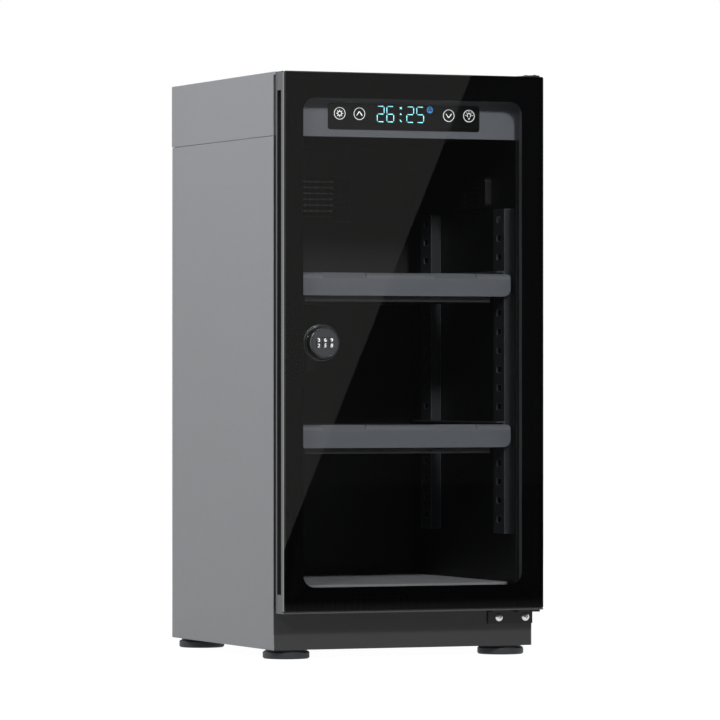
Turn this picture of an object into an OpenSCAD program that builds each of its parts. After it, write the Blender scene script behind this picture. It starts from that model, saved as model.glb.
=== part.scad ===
// Camera dry cabinet: a steel cabinet with a glass door on pivot hinges, two pull-out
// shelves on slotted uprights, a thermoelectric dryer and a three-wheel combination lock.
// X runs across the front, Y runs from the door to the back and Z runs up from the floor
// under the feet. The origin is at the middle of the base.

/* [Cabinet] */
// Outer width of the cabinet and of its door
body_w = 316; // [304:1:350]
// Depth of the steel body without the door
body_d = 322; // [312:1:370]
// Height of the steel body without its feet
body_h = 645; // [636:1:700]
// Height of the top housing that holds the electronics
cap_h = 71; // [68:1:80]
// Thickness of the steel sheet
sheet_t = 1.2; // [0.8:0.1:1.5]
// Thickness of the hollow side wall with its lining
wall_t = 13; // [12:0.5:16]
// Thickness of the hollow back wall with its lining
back_wall_t = 10; // [9:0.5:14]
// Height of the plinth below the door
plinth_h = 41.6; // [40:0.2:46]
// Height of the storage bay's floor above the underside of the body
floor_h = 66; // [62:1:80]

/* [Feet] */
// Radius of a rubber foot
foot_r = 26.3; // [20:0.1:28]
// Height of a rubber foot
foot_h = 10.5; // [9:0.5:20]
// From a foot's centre to the side of the body
foot_side_inset = 26.5; // [26:0.1:40]
// From a foot's centre to the front or the back of the body
foot_end_inset = 28; // [26:0.5:40]

/* [Door] */
// Thickness of the door with its glass
door_t = 25; // [24:0.5:28]
// Gap between the door and the body, which the gasket fills
door_gap = 7.1; // [6.6:0.1:8]
// Thickness of the glass
glass_t = 4; // [3:0.5:5]
// Width of the printed border at the sides of the glass
border_side = 24.8; // [20:0.2:32]
// Width of the printed border at the top and bottom of the glass
border_end = 29; // [21:0.5:36]
// Corner radius of the clear window
window_r = 14; // [6:1:20]
// Width of the aluminium profiles round the door
profile_w = 14; // [12:0.5:16]
// Width of the finger groove in the handle profile
groove_w = 12; // [9:0.5:13]
// Depth of the finger groove in the handle profile
groove_d = 9; // [6:0.5:10]
// Length of the end caps in the finger groove
groove_cap_l = 21; // [15:0.5:30]
// Radius of a hinge pin
hinge_pin_r = 2.5; // [2:0.1:2.8]
// From the hinge axis to the right side of the door
hinge_inset = 5; // [4.6:0.1:6]

/* [Shelves] */
// Free slots of the uprights below the lower shelf's
lower_skip_count = 5; // [4:1:7]
// Free slots of the uprights above the upper shelf's
upper_skip_count = 3; // [2:1:4]
// Distance from one slot of the uprights to the next
slot_pitch = 21.4; // [21:0.1:22]
// Height of a shelf's front
shelf_front_h = 26; // [24:0.5:30]
// Distance from a shelf's front to the side of the body
shelf_side_gap = 22; // [21:0.5:26]

/* [Lock] */
// From the lock's centre to the left side of the body
lock_inset = 45.7; // [44:0.1:60]
// From the middle of the door's height down to the lock's centre
lock_drop = 0.35; // [0:0.05:20]
// Radius of the lock's bezel where it meets the glass
bezel_r = 20.25; // [20:0.05:22]
// Distance between the middles of two number wheels
wheel_pitch = 7.8; // [7.6:0.1:7.9]
// Radius of a number wheel
wheel_r = 10.2; // [9.8:0.1:10.3]

/* [Hidden] */
$fn = 64;

// Colours
steel_grey = [0.56, 0.58, 0.60];
frame_black = [0.07, 0.07, 0.08];
lining_black = [0.10, 0.10, 0.11];
fascia_grey = [0.36, 0.37, 0.40];
aluminium_grey = [0.62, 0.64, 0.66];
rubber_black = [0.09, 0.10, 0.11];
bright_steel = [0.80, 0.80, 0.80];
mat_grey = [0.52, 0.53, 0.55];
glass_tint = [0.55, 0.60, 0.62, 0.35];
board_green = [0.10, 0.35, 0.20];

// One overrun serves all cuts, one clearance all loose fits, one all running fits
overrun = 1;
loose = 0.3;
running = 0.05;

// Sheet metal of the body: rolled hem, front frame and seams
hem_r = 0.6;
hem_l = 6;
frame_t = 2;
frame_w = 19;
frame_corner_r = 4;
seam_gap = 0.6;
lap_h = 12;
lap_inset = 20;
cap_overhang = 1.4;
lip_d = 6.6;
lip_t = 3.5;
lip_stop = 20;
pan_flange_h = 12;
plinth_return = 22;
rear_inset = 3;
mat_t = 5;
mat_r = 20;
mat_gap = 1;
mat_front_gap = 18;

// Fascia and display above the storage bay
display_w = 185;
display_h = 28.6;
display_rise = 8.4;
display_proud = 1.2;
display_r = 2.5;
display_rim = 4;
display_body_d = 9;
board_w = 150;
board_h = 30;
board_t = 1.6;
relay_w = 18;
relay_d = 9;
relay_h = 14;
relay_start = 23;
relay_pitch = 34;
relay_count = 3;
module_w = 120;
module_d = 62;
module_h = 36;
module_inset = 88;
module_y = 190;
module_slot_w = 3;
module_slot_pitch = 9;
module_slot_count = 11;
module_slot_h = 22;
module_slot_depth = 8;

// Ceiling of the storage bay with its lamp, humidity sensor on the right wall
ceiling_rise = 6;
lamp_w = 220;
lamp_d = 12;
lamp_h = 4;
lamp_y = 24;
lamp_bevel = 2.5;
sensor_y = 83;
sensor_l = 78;
sensor_h = 35;
sensor_d = 8;
sensor_drop = 74;
sensor_r = 5;
sensor_slot_w = 2.4;
sensor_slot_l = 40;
sensor_slot_pitch = 6;
sensor_slot_count = 4;

// Dryer in the back wall
vent_drop = 55.5;
vent_w = 128;
vent_h = 59;
vent_d = 12;
vent_t = 1.6;
vent_rim = 6;
slat_count = 7;
slat_pitch = 6.9;
slat_t = 1.1;
slat_l = 5.2;
slat_tilt = 35;
slat_sink = 1.9;
cold_w = 80;
cold_h = 46;
cold_t = 4;
cold_fin_d = 3.2;
cold_fin_t = 1.2;
cold_fin_pitch = 8;
cold_fin_count = 9;
peltier_w = 40;
peltier_t = 3.8;
block_w = 38;
sink_w = 110;
sink_h = 70;
sink_t = 4;
sink_fin_t = 1.2;
sink_fin_d = 14;
sink_fin_pitch = 6;
sink_fin_count = 18;
grille_w = 150;
grille_h = 104;
grille_d = 24;
grille_t = 2;
grille_r = 8;
grille_slot_w = 116;
grille_slot_h = 3.6;
grille_slot_pitch = 8;
grille_slot_count = 10;

// Power inlet and vents in the back of the top housing
inlet_inset = 48;
inlet_drop = 36;
inlet_r = 4;
inlet_flange_r = 5.5;
inlet_flange_t = 1.5;
inlet_l = 13;
inlet_bore_r = 2.8;
inlet_bore_l = 9;
inlet_pin_r = 1;
inlet_pin_l = 8;
cap_vent_w = 3;
cap_vent_h = 26;
cap_vent_pitch = 8;
cap_vent_count = 12;
cap_vent_inset = 98;

// Feet and their screws
foot_bevel = 1.4;
foot_neck_h = 2.2;
foot_neck_inset = 3;
foot_recess_r = 5;
foot_recess_h = 5;
foot_screw_r = 2;
foot_screw_head_r = 4;
foot_screw_head_h = 2.6;
foot_screw_l = 14;

// Uprights and shelf runners
upright_w = 30;
upright_d = 12.4;
upright_t = 1.5;
upright_top_gap = 77.5;
upright_rise = 126.5;
upright_front_y = 19;
upright_rear_y = 230;
slot_start = 16;
slot_end = 10;
slot_w = 12;
slot_h = 6.6;
runner_h = 14;
runner_t = 1.5;
runner_flange = 8;
runner_l = 243;
hook_w = 10;
hook_h = 4;
hook_lip = 2;
hook_t = 1.4;

// Shelves
shelf_drop = 24.5;
shelf_y = 9;
shelf_front_t = 8;
shelf_front_r = 9;
shelf_front_end_r = 4;
shelf_roll_r = 7;
scoop_start = 41.5;
scoop_w = 53;
runner_rise = 15;
tray_l = 272;
tray_side_gap = 1;
tray_wall_h = 8;
skirt_drop = 6.5;
skirt_inset = 22.6;
skirt_end = 4;
shelf_mat_t = 3;
shelf_mat_r = 5;

// Door
door_top_gap = 0.5;
glass_r = 2.2;
glass_lip = 1.5;
print_t = 0.3;
groove_front_t = 5;
lip_r = 1;
rail_wall = 1.6;
inner_frame_w = 5;
inner_frame_d = 11.8;
inner_frame_r = 10;
gasket_inset = 8;
gasket_stem = 1.7;
gasket_gap = 0.3;
gasket_r = 5;
bush_wall = 1.5;
bush_l = 14;
pin_l = 12;

// Hinge brackets and their screws
bracket_t = 2.2;
bracket_w = 55;
bracket_low = 25.1;
bracket_gap = 0.4;
bracket_reach = 26;
bracket_tail = 28;
bracket_r = 4;
top_leaf_t = 1.5;
top_leaf_w = 17;
top_leaf_reach = 25;
top_leaf_tail = 34;
hinge_screw_r = 2.5;
hinge_screw_head_r = 5;
hinge_screw_head_h = 3.3;
hinge_screw_l = 9;
hinge_screw_rise = 32.2;
hinge_screw_inset = 8.6;
hinge_screw_pitch = 32.7;
roof_screw_r = 2;
pin_head_r = 3.3;
pin_head_h = 1.1;
roof_screw_head_r = 3.4;
roof_screw_head_h = 2.2;
roof_screw_l = 8;
roof_screw_y = 5.2;
roof_screw_pitch = 20;

// Lock: distances forward of the glass are positive
knob_r = 15.6;
knob_face = 8.6;
knob_back = 12.3;
bezel_h = 9.1;
bezel_foot = 1.2;
bezel_ledge = 0.75;
bezel_front_r = 16.9;
bezel_bore_gap = 0.35;
barrel_r = 18.2;
barrel_gap = 0.4;
barrel_l = 15;
barrel_floor = 2.5;
sleeve_r = 7;
sleeve_l = 24;
nut_t = 3;
wheel_sink = 8.6;
wheel_w = 5.2;
pocket_w = 5.8;
wheel_digits = 10;
wheel_notch_r = 0.45;
axle_r = 1.5;
axle_l = 26;
spindle_r = 4;
cam_gap = 0.6;
cam_t = 2.5;
cam_hub_r = 8;
cam_end_r = 6;
cam_l = 31;
cam_nut_r = 5.5;
cam_nut_t = 3.5;
nut_sides = 6;
spindle_neck_r = 2.5;

// Places worked out from the sizes above
front_reach = door_gap + door_t + knob_face - wheel_sink + wheel_r;
back_reach = sheet_t + grille_d;
front_y = (front_reach - body_d - back_reach) / 2;
back_y = front_y + body_d;
left_x = -body_w / 2;
right_x = body_w / 2;
shell_z = foot_h;
plinth_z = shell_z + plinth_h;
roof_z = shell_z + body_h;
seam_z = roof_z - cap_h;
ceiling_z = seam_z + ceiling_rise;
side_h = body_h - cap_h - seam_gap;
flange_w = wall_t - sheet_t;
bay_left = left_x + wall_t;
bay_right = right_x - wall_t;
bay_back = back_y - back_wall_t;
bay_floor = shell_z + floor_h;
fascia_top = roof_z - lip_t;
display_z = seam_z + display_rise;
vent_z = seam_z - vent_drop;
sensor_z = seam_z - sensor_drop;
inlet_x = right_x - inlet_inset;
inlet_z = roof_z - inlet_drop;
sink_y = back_y + sheet_t;
door_front = front_y - door_gap - door_t;
door_back = front_y - door_gap;
print_y = door_front + glass_t;
profile_y = print_y + print_t;
door_z = plinth_z;
door_top = roof_z - door_top_gap;
hinge_x = right_x - hinge_inset;
hinge_y = door_back - door_t / 2;
bush_r = hinge_pin_r + bush_wall;
lock_x = left_x + lock_inset;
lock_z = (door_z + door_top) / 2 - lock_drop;
wheel_y = door_front - knob_face + wheel_sink;
pocket_r = wheel_r + loose;
cam_y = front_y + frame_t + cam_gap;
knob_rear_y = door_front + knob_back;
upright_z = shell_z + upright_rise;
upright_l = seam_z - upright_top_gap - upright_z;
slot_count = floor((upright_l - slot_start - slot_end) / slot_pitch) + 1;
lower_slot = lower_skip_count;
upper_slot = slot_count - 1 - upper_skip_count;
leaf_z = door_z - bracket_gap - bracket_t;
hinge_screw_insets = [hinge_screw_inset, hinge_screw_inset + hinge_screw_pitch];
roof_screw_places = [roof_screw_y, roof_screw_y + roof_screw_pitch];
foot_places = [for (x = [left_x + foot_side_inset, right_x - foot_side_inset],
                    y = [front_y + foot_end_inset, back_y - foot_end_inset]) [x, y]];

// Height of a slot's middle in the uprights, counted from zero
function slot_z(index) = upright_z + slot_start + index * slot_pitch;
// Underside of the front of a shelf that hangs in a slot
function shelf_z(index) = slot_z(index) - shelf_drop;

// Box between two corners
module box(low, high) translate(low) cube(high - low);

// Rectangle between two corners
module rect(low, high) translate(low) square(high - low);

// Rectangle between two corners with rounded corners
module round_rect(low, high, r) {
    rect([low.x + r, low.y], [high.x - r, high.y]);
    rect([low.x, low.y + r], [high.x, high.y - r]);
    for (x = [low.x + r, high.x - r], y = [low.y + r, high.y - r])
        translate([x, y]) circle(r);
}

// Raises a front outline, drawn in X and Z, into a solid that runs back from y
module along_y(y, length) translate([0, y + length, 0]) rotate([90, 0, 0])
    linear_extrude(length) children();

// Raises a side outline, drawn in Y and Z, into a solid that runs right from x
module along_x(x, length) translate([x, 0, 0]) rotate([90, 0, 90])
    linear_extrude(length) children();

// A piece and its mirror image on the other side of the cabinet
module both_sides() {
    children();
    mirror([1, 0, 0]) children();
}

// Cylinder along Y that starts at a point
module y_cylinder(at, r, length) translate(at) rotate([-90, 0, 0]) cylinder(r = r, h = length);

// Cylinder along X about a middle point
module x_cylinder(at, r, length) translate(at) rotate([0, 90, 0])
    cylinder(r = r, h = length, center = true);

// Plan of a side sheet's front: rolled hem and the flange behind the front frame
module hem_section() {
    translate([hem_r, hem_r]) circle(hem_r);
    rect([0, hem_r], [2 * hem_r, hem_l]);
    rect([0, frame_t], [flange_w, frame_t + sheet_t]);
}

// Side sheet of the body, drawn for the left side: skin, hem, flanges and the lap that
// locates the top housing
module side_panel() {
    translate([left_x, front_y, shell_z]) {
        linear_extrude(side_h) {
            hem_section();
            rect([0, hem_r], [sheet_t, body_d]);
            rect([0, body_d - sheet_t], [flange_w, body_d]);
        }
        box([0, frame_t, sheet_t], [flange_w, body_d, 2 * sheet_t]);
        box([sheet_t / 2, lap_inset, side_h - lap_h],
            [2 * sheet_t, body_d - lap_inset, side_h]);
        box([sheet_t, lap_inset, side_h - lap_h],
            [2 * sheet_t, body_d - lap_inset, side_h + seam_gap + lap_h]);
    }
}

module left_side_panel() color(steel_grey) side_panel();

module right_side_panel() color(steel_grey) difference() {
    mirror([1, 0, 0]) side_panel();
    hinge_screw_holes();
}

// Floor sheet of the body with an upturned front edge and holes for the foot screws
module base_pan() color(steel_grey) difference() {
    union() {
        box([left_x + sheet_t, front_y + hem_l, shell_z],
            [right_x - sheet_t, back_y - sheet_t, shell_z + sheet_t]);
        box([left_x + flange_w, front_y + frame_t, shell_z],
            [right_x - flange_w, front_y + hem_l, shell_z + sheet_t]);
        box([left_x + flange_w, front_y + frame_t, shell_z],
            [right_x - flange_w, front_y + frame_t + sheet_t, shell_z + pan_flange_h]);
        box([left_x + flange_w, back_y - 2 * sheet_t, shell_z],
            [right_x - flange_w, back_y - sheet_t, shell_z + pan_flange_h]);
    }
    for (place = foot_places)
        translate([place.x, place.y, shell_z - overrun])
            cylinder(r = foot_screw_r + loose, h = sheet_t + 2 * overrun);
}

// Cover over the electronics, with a rolled lip that reaches over the door gap
module top_housing() color(steel_grey) difference() {
    union() {
        both_sides() translate([left_x, front_y, seam_z]) linear_extrude(cap_h) {
            hem_section();
            rect([0, hem_r], [sheet_t, body_d + cap_overhang]);
        }
        box([left_x, back_y + cap_overhang - sheet_t, seam_z],
            [right_x, back_y + cap_overhang, roof_z]);
        box([left_x, front_y + hem_r, roof_z - sheet_t],
            [right_x, back_y + cap_overhang, roof_z]);
        box([left_x + hem_r, front_y, fascia_top], [right_x - hem_r, front_y + hem_l, roof_z]);
        along_x(left_x, body_w - lip_stop) {
            translate([front_y - lip_d + lip_t / 2, roof_z - lip_t / 2]) circle(d = lip_t);
            rect([front_y - lip_d + lip_t / 2, roof_z - lip_t], [front_y + hem_l, roof_z]);
        }
    }
    y_cylinder([inlet_x, back_y - overrun, inlet_z], inlet_r + loose,
               cap_overhang + 2 * overrun);
    for (i = [0 : cap_vent_count - 1])
        translate([left_x + cap_vent_inset + (i - (cap_vent_count - 1) / 2) * cap_vent_pitch, 0, 0])
            box([-cap_vent_w / 2, back_y - overrun, inlet_z - cap_vent_h / 2],
                [cap_vent_w / 2, back_y + cap_overhang + overrun,
                 inlet_z + cap_vent_h / 2]);
    for (y = roof_screw_places)
        translate([hinge_x, front_y + y, roof_z - lip_t - overrun])
            cylinder(r = roof_screw_r + loose, h = lip_t + 2 * overrun);
}

// Back sheet with a square hole for the thermoelectric module
module rear_panel() color(steel_grey) difference() {
    box([left_x + rear_inset, back_y, shell_z + rear_inset],
        [right_x - rear_inset, back_y + sheet_t, seam_z - seam_gap]);
    translate([0, 0, vent_z])
        box([-peltier_w / 2 - loose, back_y - overrun, -peltier_w / 2 - loose],
            [peltier_w / 2 + loose, back_y + sheet_t + overrun, peltier_w / 2 + loose]);
}

// Front sheet below the door, folded back along its top
module plinth_panel() color(frame_black) difference() {
    union() {
        box([left_x + 2 * hem_r, front_y, shell_z],
            [right_x - 2 * hem_r, front_y + frame_t, plinth_z]);
        box([left_x + flange_w, front_y + frame_t / 2, plinth_z - sheet_t],
            [right_x - flange_w, front_y + plinth_return, plinth_z]);
    }
    hinge_screw_holes();
}

// U-shaped front of the storage bay that the door gasket closes on
module front_frame() color(frame_black) along_y(front_y, frame_t) difference() {
    rect([left_x + 2 * hem_r, plinth_z], [right_x - 2 * hem_r, seam_z]);
    round_rect([left_x + frame_w, bay_floor], [right_x - frame_w, seam_z + cap_h], frame_corner_r);
}

module side_lining() box([left_x + flange_w, front_y + frame_t, bay_floor - sheet_t],
                         [bay_left, bay_back + sheet_t, ceiling_z + sheet_t]);

module inner_left_panel() color(lining_black) side_lining();
module inner_right_panel() color(lining_black) mirror([1, 0, 0]) side_lining();

// Back lining with a square hole for the cold block
module inner_back_panel() color(lining_black) difference() {
    box([bay_left, bay_back, bay_floor], [bay_right, bay_back + sheet_t, ceiling_z]);
    translate([0, 0, vent_z])
        box([-block_w / 2 - loose, bay_back - overrun, -block_w / 2 - loose],
            [block_w / 2 + loose, bay_back + sheet_t + overrun, block_w / 2 + loose]);
}

module inner_floor_panel() color(lining_black)
    box([bay_left, front_y + frame_t, bay_floor - sheet_t],
        [bay_right, bay_back + sheet_t, bay_floor]);

// Ceiling a little above the lower edge of the fascia, so that the lamp hides behind it
module inner_ceiling_panel() color(lining_black)
    box([bay_left, front_y + frame_t, ceiling_z],
        [bay_right, bay_back + sheet_t, ceiling_z + sheet_t]);

module floor_mat() color(mat_grey) translate([0, 0, bay_floor]) linear_extrude(mat_t)
    round_rect([bay_left + mat_gap, front_y + frame_t + mat_front_gap],
               [bay_right - mat_gap, bay_back - mat_gap],
               mat_r);

// Slotted channel, drawn for the left side with its open side against the lining
module upright(y) translate([bay_left, y, upright_z]) difference() {
    linear_extrude(upright_l) difference() {
        rect([0, 0], [upright_d, upright_w]);
        rect([-overrun, upright_t], [upright_d - upright_t, upright_w - upright_t]);
    }
    for (i = [0 : slot_count - 1])
        translate([upright_d, upright_w / 2, slot_start + i * slot_pitch])
            box([-upright_t - overrun, -slot_w / 2, -slot_h / 2],
                [overrun, slot_w / 2, slot_h / 2]);
}

module left_uprights() color(frame_black)
    for (y = [upright_front_y, upright_rear_y]) upright(front_y + y);

module right_uprights() color(frame_black) mirror([1, 0, 0])
    for (y = [upright_front_y, upright_rear_y]) upright(front_y + y);

// Channel that a shelf slides in, drawn for the left side, with hooks in the uprights' slots
module runner(index) {
    web_x = bay_left + upright_d;
    low = shelf_z(index) + runner_rise;
    slot_low = slot_z(index) - slot_h / 2;
    translate([web_x, front_y + upright_front_y, 0]) {
        box([0, 0, low], [runner_t, runner_l, low + runner_h]);
        for (z = [low, low + runner_h - runner_t])
            box([0, 0, z], [runner_t + runner_flange, runner_l, z + runner_t]);
        for (y = [upright_w / 2, upright_rear_y - upright_front_y + upright_w / 2])
            translate([0, y, slot_low]) {
                box([-upright_t - hook_t, -hook_w / 2, 0], [runner_t / 2, hook_w / 2, hook_h]);
                box([-upright_t - hook_t, -hook_w / 2, -hook_lip], [-upright_t, hook_w / 2, hook_h]);
            }
    }
}

module lower_shelf_runners() color(frame_black) both_sides() runner(lower_slot);
module upper_shelf_runners() color(frame_black) both_sides() runner(upper_slot);

// Grey front of the top housing with the opening for the display
module control_fascia() color(fascia_grey) along_y(front_y, frame_t) difference() {
    rect([left_x + 2 * hem_r, seam_z], [right_x - 2 * hem_r, fascia_top]);
    rect([-display_w / 2 + display_rim, display_z + display_rim],
         [display_w / 2 - display_rim, display_z + display_h - display_rim]);
}

// Display plate on the fascia, with its body behind
module display_module() color(frame_black) {
    along_y(front_y - display_proud, display_proud)
        round_rect([-display_w / 2, display_z], [display_w / 2, display_z + display_h], display_r);
    box([-display_w / 2 + display_rim + loose, front_y - display_proud / 2,
         display_z + display_rim + loose],
        [display_w / 2 - display_rim - loose, front_y + display_body_d,
         display_z + display_h - display_rim - loose]);
}

// Circuit board behind the display with its relays
module control_board() color(board_green) translate([0, front_y + display_body_d, display_z]) {
    box([-board_w / 2, 0, (display_h - board_h) / 2],
        [board_w / 2, board_t, (display_h + board_h) / 2]);
    for (i = [0 : relay_count - 1])
        translate([-board_w / 2 + relay_start + i * relay_pitch, 0, 0])
            box([0, board_t / 2, (display_h - relay_h) / 2],
                [relay_w, board_t + relay_d, (display_h + relay_h) / 2]);
}

// Power supply for the dryer, with cooling slots in its front
module power_module() color(bright_steel)
    translate([left_x + module_inset, front_y + module_y, ceiling_z + sheet_t]) difference() {
        cube([module_w, module_d, module_h]);
        for (i = [0 : module_slot_count - 1])
            translate([module_w / 2 + (i - (module_slot_count - 1) / 2) * module_slot_pitch, 0, 0])
                box([-module_slot_w / 2, -overrun, (module_h - module_slot_h) / 2],
                    [module_slot_w / 2, module_slot_depth, (module_h + module_slot_h) / 2]);
    }

// Lamp below the ceiling with bevelled long edges
module lamp_strip() color("white") along_x(-lamp_w / 2, lamp_w)
    translate([front_y + lamp_y, ceiling_z]) polygon([
        [0, 0], [0, -lamp_h + lamp_bevel], [lamp_bevel, -lamp_h],
        [lamp_d - lamp_bevel, -lamp_h], [lamp_d, -lamp_h + lamp_bevel], [lamp_d, 0]]);

// Slotted cover of the humidity sensor on the right wall
module humidity_sensor() color(frame_black) difference() {
    along_x(bay_right - sensor_d, sensor_d)
        round_rect([front_y + sensor_y, sensor_z],
                   [front_y + sensor_y + sensor_l, sensor_z + sensor_h], sensor_r);
    for (i = [0 : sensor_slot_count - 1])
        translate([bay_right - sensor_d, front_y + sensor_y + sensor_l / 2,
                   sensor_z + sensor_h / 2
                   + (i - (sensor_slot_count - 1) / 2) * sensor_slot_pitch])
            box([-overrun, -sensor_slot_l / 2, -sensor_slot_w / 2],
                [sensor_d / 2, sensor_slot_l / 2, sensor_slot_w / 2]);
}

// Louvred cover over the dryer in the back wall of the storage bay
module inner_vent_cover() color(frame_black) translate([0, bay_back - vent_d, vent_z]) {
    along_y(0, vent_d) difference() {
        rect([-vent_w / 2, -vent_h / 2], [vent_w / 2, vent_h / 2]);
        rect([-vent_w / 2 + vent_t, -vent_h / 2 + vent_t], [vent_w / 2 - vent_t, vent_h / 2 - vent_t]);
    }
    along_y(0, vent_t) difference() {
        rect([-vent_w / 2, -vent_h / 2], [vent_w / 2, vent_h / 2]);
        rect([-vent_w / 2 + vent_rim, -vent_h / 2 + vent_rim],
             [vent_w / 2 - vent_rim, vent_h / 2 - vent_rim]);
    }
    for (i = [0 : slat_count - 1])
        translate([0, slat_sink, (i - (slat_count - 1) / 2) * slat_pitch])
            rotate([slat_tilt, 0, 0])
                cube([vent_w - 2 * vent_rim + vent_t, slat_t, slat_l], center = true);
}

// Finned cold plate with the block that reaches through the back wall
module cold_plate() color(aluminium_grey) translate([0, bay_back, vent_z]) {
    box([-cold_w / 2, -cold_t, -cold_h / 2], [cold_w / 2, 0, cold_h / 2]);
    box([-block_w / 2, -cold_t / 2, -block_w / 2],
        [block_w / 2, back_wall_t + sheet_t - peltier_t, block_w / 2]);
    for (i = [0 : cold_fin_count - 1])
        translate([(i - (cold_fin_count - 1) / 2) * cold_fin_pitch, 0, 0])
            box([-cold_fin_t / 2, -cold_t - cold_fin_d, -cold_h / 2],
                [cold_fin_t / 2, -cold_t / 2, cold_h / 2]);
}

module thermoelectric_module() color("white") translate([0, sink_y, vent_z])
    box([-peltier_w / 2, -peltier_t, -peltier_w / 2], [peltier_w / 2, 0, peltier_w / 2]);

// Heat sink on the back sheet with upright fins
module heat_sink() color(aluminium_grey) translate([0, sink_y, vent_z]) {
    box([-sink_w / 2, 0, -sink_h / 2], [sink_w / 2, sink_t, sink_h / 2]);
    for (i = [0 : sink_fin_count - 1])
        translate([(i - (sink_fin_count - 1) / 2) * sink_fin_pitch, 0, 0])
            box([-sink_fin_t / 2, sink_t / 2, -sink_h / 2],
                [sink_fin_t / 2, sink_t + sink_fin_d, sink_h / 2]);
}

// Slotted plastic cover over the heat sink
module rear_vent_cover() color(frame_black) translate([0, sink_y, vent_z]) difference() {
    along_y(0, grille_d)
        round_rect([-grille_w / 2, -grille_h / 2], [grille_w / 2, grille_h / 2], grille_r);
    along_y(-overrun, grille_d - grille_t + overrun)
        round_rect([-grille_w / 2 + grille_t, -grille_h / 2 + grille_t],
                   [grille_w / 2 - grille_t, grille_h / 2 - grille_t], grille_r - grille_t);
    for (i = [0 : grille_slot_count - 1])
        translate([0, 0, (i - (grille_slot_count - 1) / 2) * grille_slot_pitch])
            box([-grille_slot_w / 2, grille_d - grille_t - overrun, -grille_slot_h / 2],
                [grille_slot_w / 2, grille_d + overrun, grille_slot_h / 2]);
}

// Barrel socket for the power lead, with its centre pin
module power_inlet() color(frame_black)
    translate([inlet_x, back_y + cap_overhang, inlet_z]) {
        difference() {
            union() {
                y_cylinder([0, 0, 0], inlet_flange_r, inlet_flange_t);
                y_cylinder([0, -inlet_l, 0], inlet_r, inlet_l + inlet_flange_t / 2);
            }
            y_cylinder([0, inlet_flange_t - inlet_bore_l, 0], inlet_bore_r, inlet_bore_l + overrun);
        }
        y_cylinder([0, inlet_flange_t - inlet_bore_l - inlet_pin_r, 0], inlet_pin_r,
                   inlet_pin_l + inlet_pin_r);
    }

// Rubber feet: a disc with bevelled rims, a narrower neck and a recess for the screw head
module feet() color(rubber_black) for (place = foot_places) translate([place.x, place.y, 0])
    rotate_extrude() {
        disc_h = foot_h - foot_neck_h;
        bore_r = foot_screw_r + loose;
        polygon([[foot_recess_r, 0], [foot_r - foot_bevel, 0], [foot_r, foot_bevel],
                 [foot_r, disc_h - foot_bevel], [foot_r - foot_bevel, disc_h],
                 [foot_r - foot_neck_inset, disc_h], [foot_r - foot_neck_inset, foot_h],
                 [bore_r, foot_h], [bore_r, foot_recess_h], [foot_recess_r, foot_recess_h]]);
    }

module foot_screws() color(bright_steel) for (place = foot_places)
    translate([place.x, place.y, foot_recess_h]) {
        translate([0, 0, -foot_screw_head_h]) cylinder(r = foot_screw_head_r, h = foot_screw_head_h);
        cylinder(r = foot_screw_r, h = foot_screw_l);
    }

// Holes for the two screws of the lower hinge bracket
module hinge_screw_holes() for (inset = hinge_screw_insets)
    y_cylinder([right_x - inset, front_y - bracket_t - overrun, shell_z + hinge_screw_rise],
               hinge_screw_r + loose, hinge_screw_l + overrun);

// Angle bracket on the plinth that carries the door's lower pin
module lower_hinge_bracket() color(frame_black) difference() {
    union() {
        box([right_x - bracket_w, front_y - bracket_t, shell_z + bracket_low],
            [right_x, front_y, leaf_z + bracket_t]);
        translate([0, 0, leaf_z]) linear_extrude(bracket_t) {
            rect([right_x - bracket_w, front_y - bracket_reach / 2], [right_x, front_y]);
            round_rect([right_x - bracket_tail, front_y - bracket_reach],
                       [right_x, front_y - bracket_t], bracket_r);
        }
    }
    hinge_screw_holes();
}

// Leaf on the roof that carries the door's upper pin
module upper_hinge_bracket() color(frame_black) difference() {
    translate([0, 0, roof_z]) linear_extrude(top_leaf_t)
        round_rect([right_x - top_leaf_w, front_y - top_leaf_reach],
                   [right_x, front_y + top_leaf_tail], bracket_r);
    for (y = roof_screw_places)
        translate([hinge_x, front_y + y, roof_z - overrun])
            cylinder(r = roof_screw_r + loose, h = top_leaf_t + 2 * overrun);
    translate([hinge_x, hinge_y, roof_z - overrun])
        cylinder(r = hinge_pin_r, h = top_leaf_t + 2 * overrun);
}

// Domed screw head that stands on a plane, with its dome towards +Z
module button_head(r, h) {
    dome_r = (r * r + h * h) / (2 * h);
    intersection() {
        translate([0, 0, h - dome_r]) sphere(r = dome_r);
        cylinder(r = r, h = h);
    }
}

// Lower pin on its leaf, and the upper pin riveted through its leaf
module hinge_pins() color(bright_steel) {
    translate([hinge_x, hinge_y, leaf_z + bracket_t])
        cylinder(r = hinge_pin_r, h = bracket_gap + pin_l);
    translate([hinge_x, hinge_y, door_top - pin_l])
        cylinder(r = hinge_pin_r, h = roof_z + top_leaf_t - door_top + pin_l);
    translate([hinge_x, hinge_y, roof_z + top_leaf_t]) button_head(pin_head_r, pin_head_h);
}

module hinge_screws() color(bright_steel) {
    for (inset = hinge_screw_insets)
        translate([right_x - inset, front_y - bracket_t, shell_z + hinge_screw_rise]) {
            rotate([90, 0, 0]) button_head(hinge_screw_head_r, hinge_screw_head_h);
            y_cylinder([0, 0, 0], hinge_screw_r, hinge_screw_l - overrun);
        }
    for (y = roof_screw_places)
        translate([hinge_x, front_y + y, roof_z + top_leaf_t]) {
            button_head(roof_screw_head_r, roof_screw_head_h);
            translate([0, 0, -roof_screw_l]) cylinder(r = roof_screw_r, h = roof_screw_l);
        }
}

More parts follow.
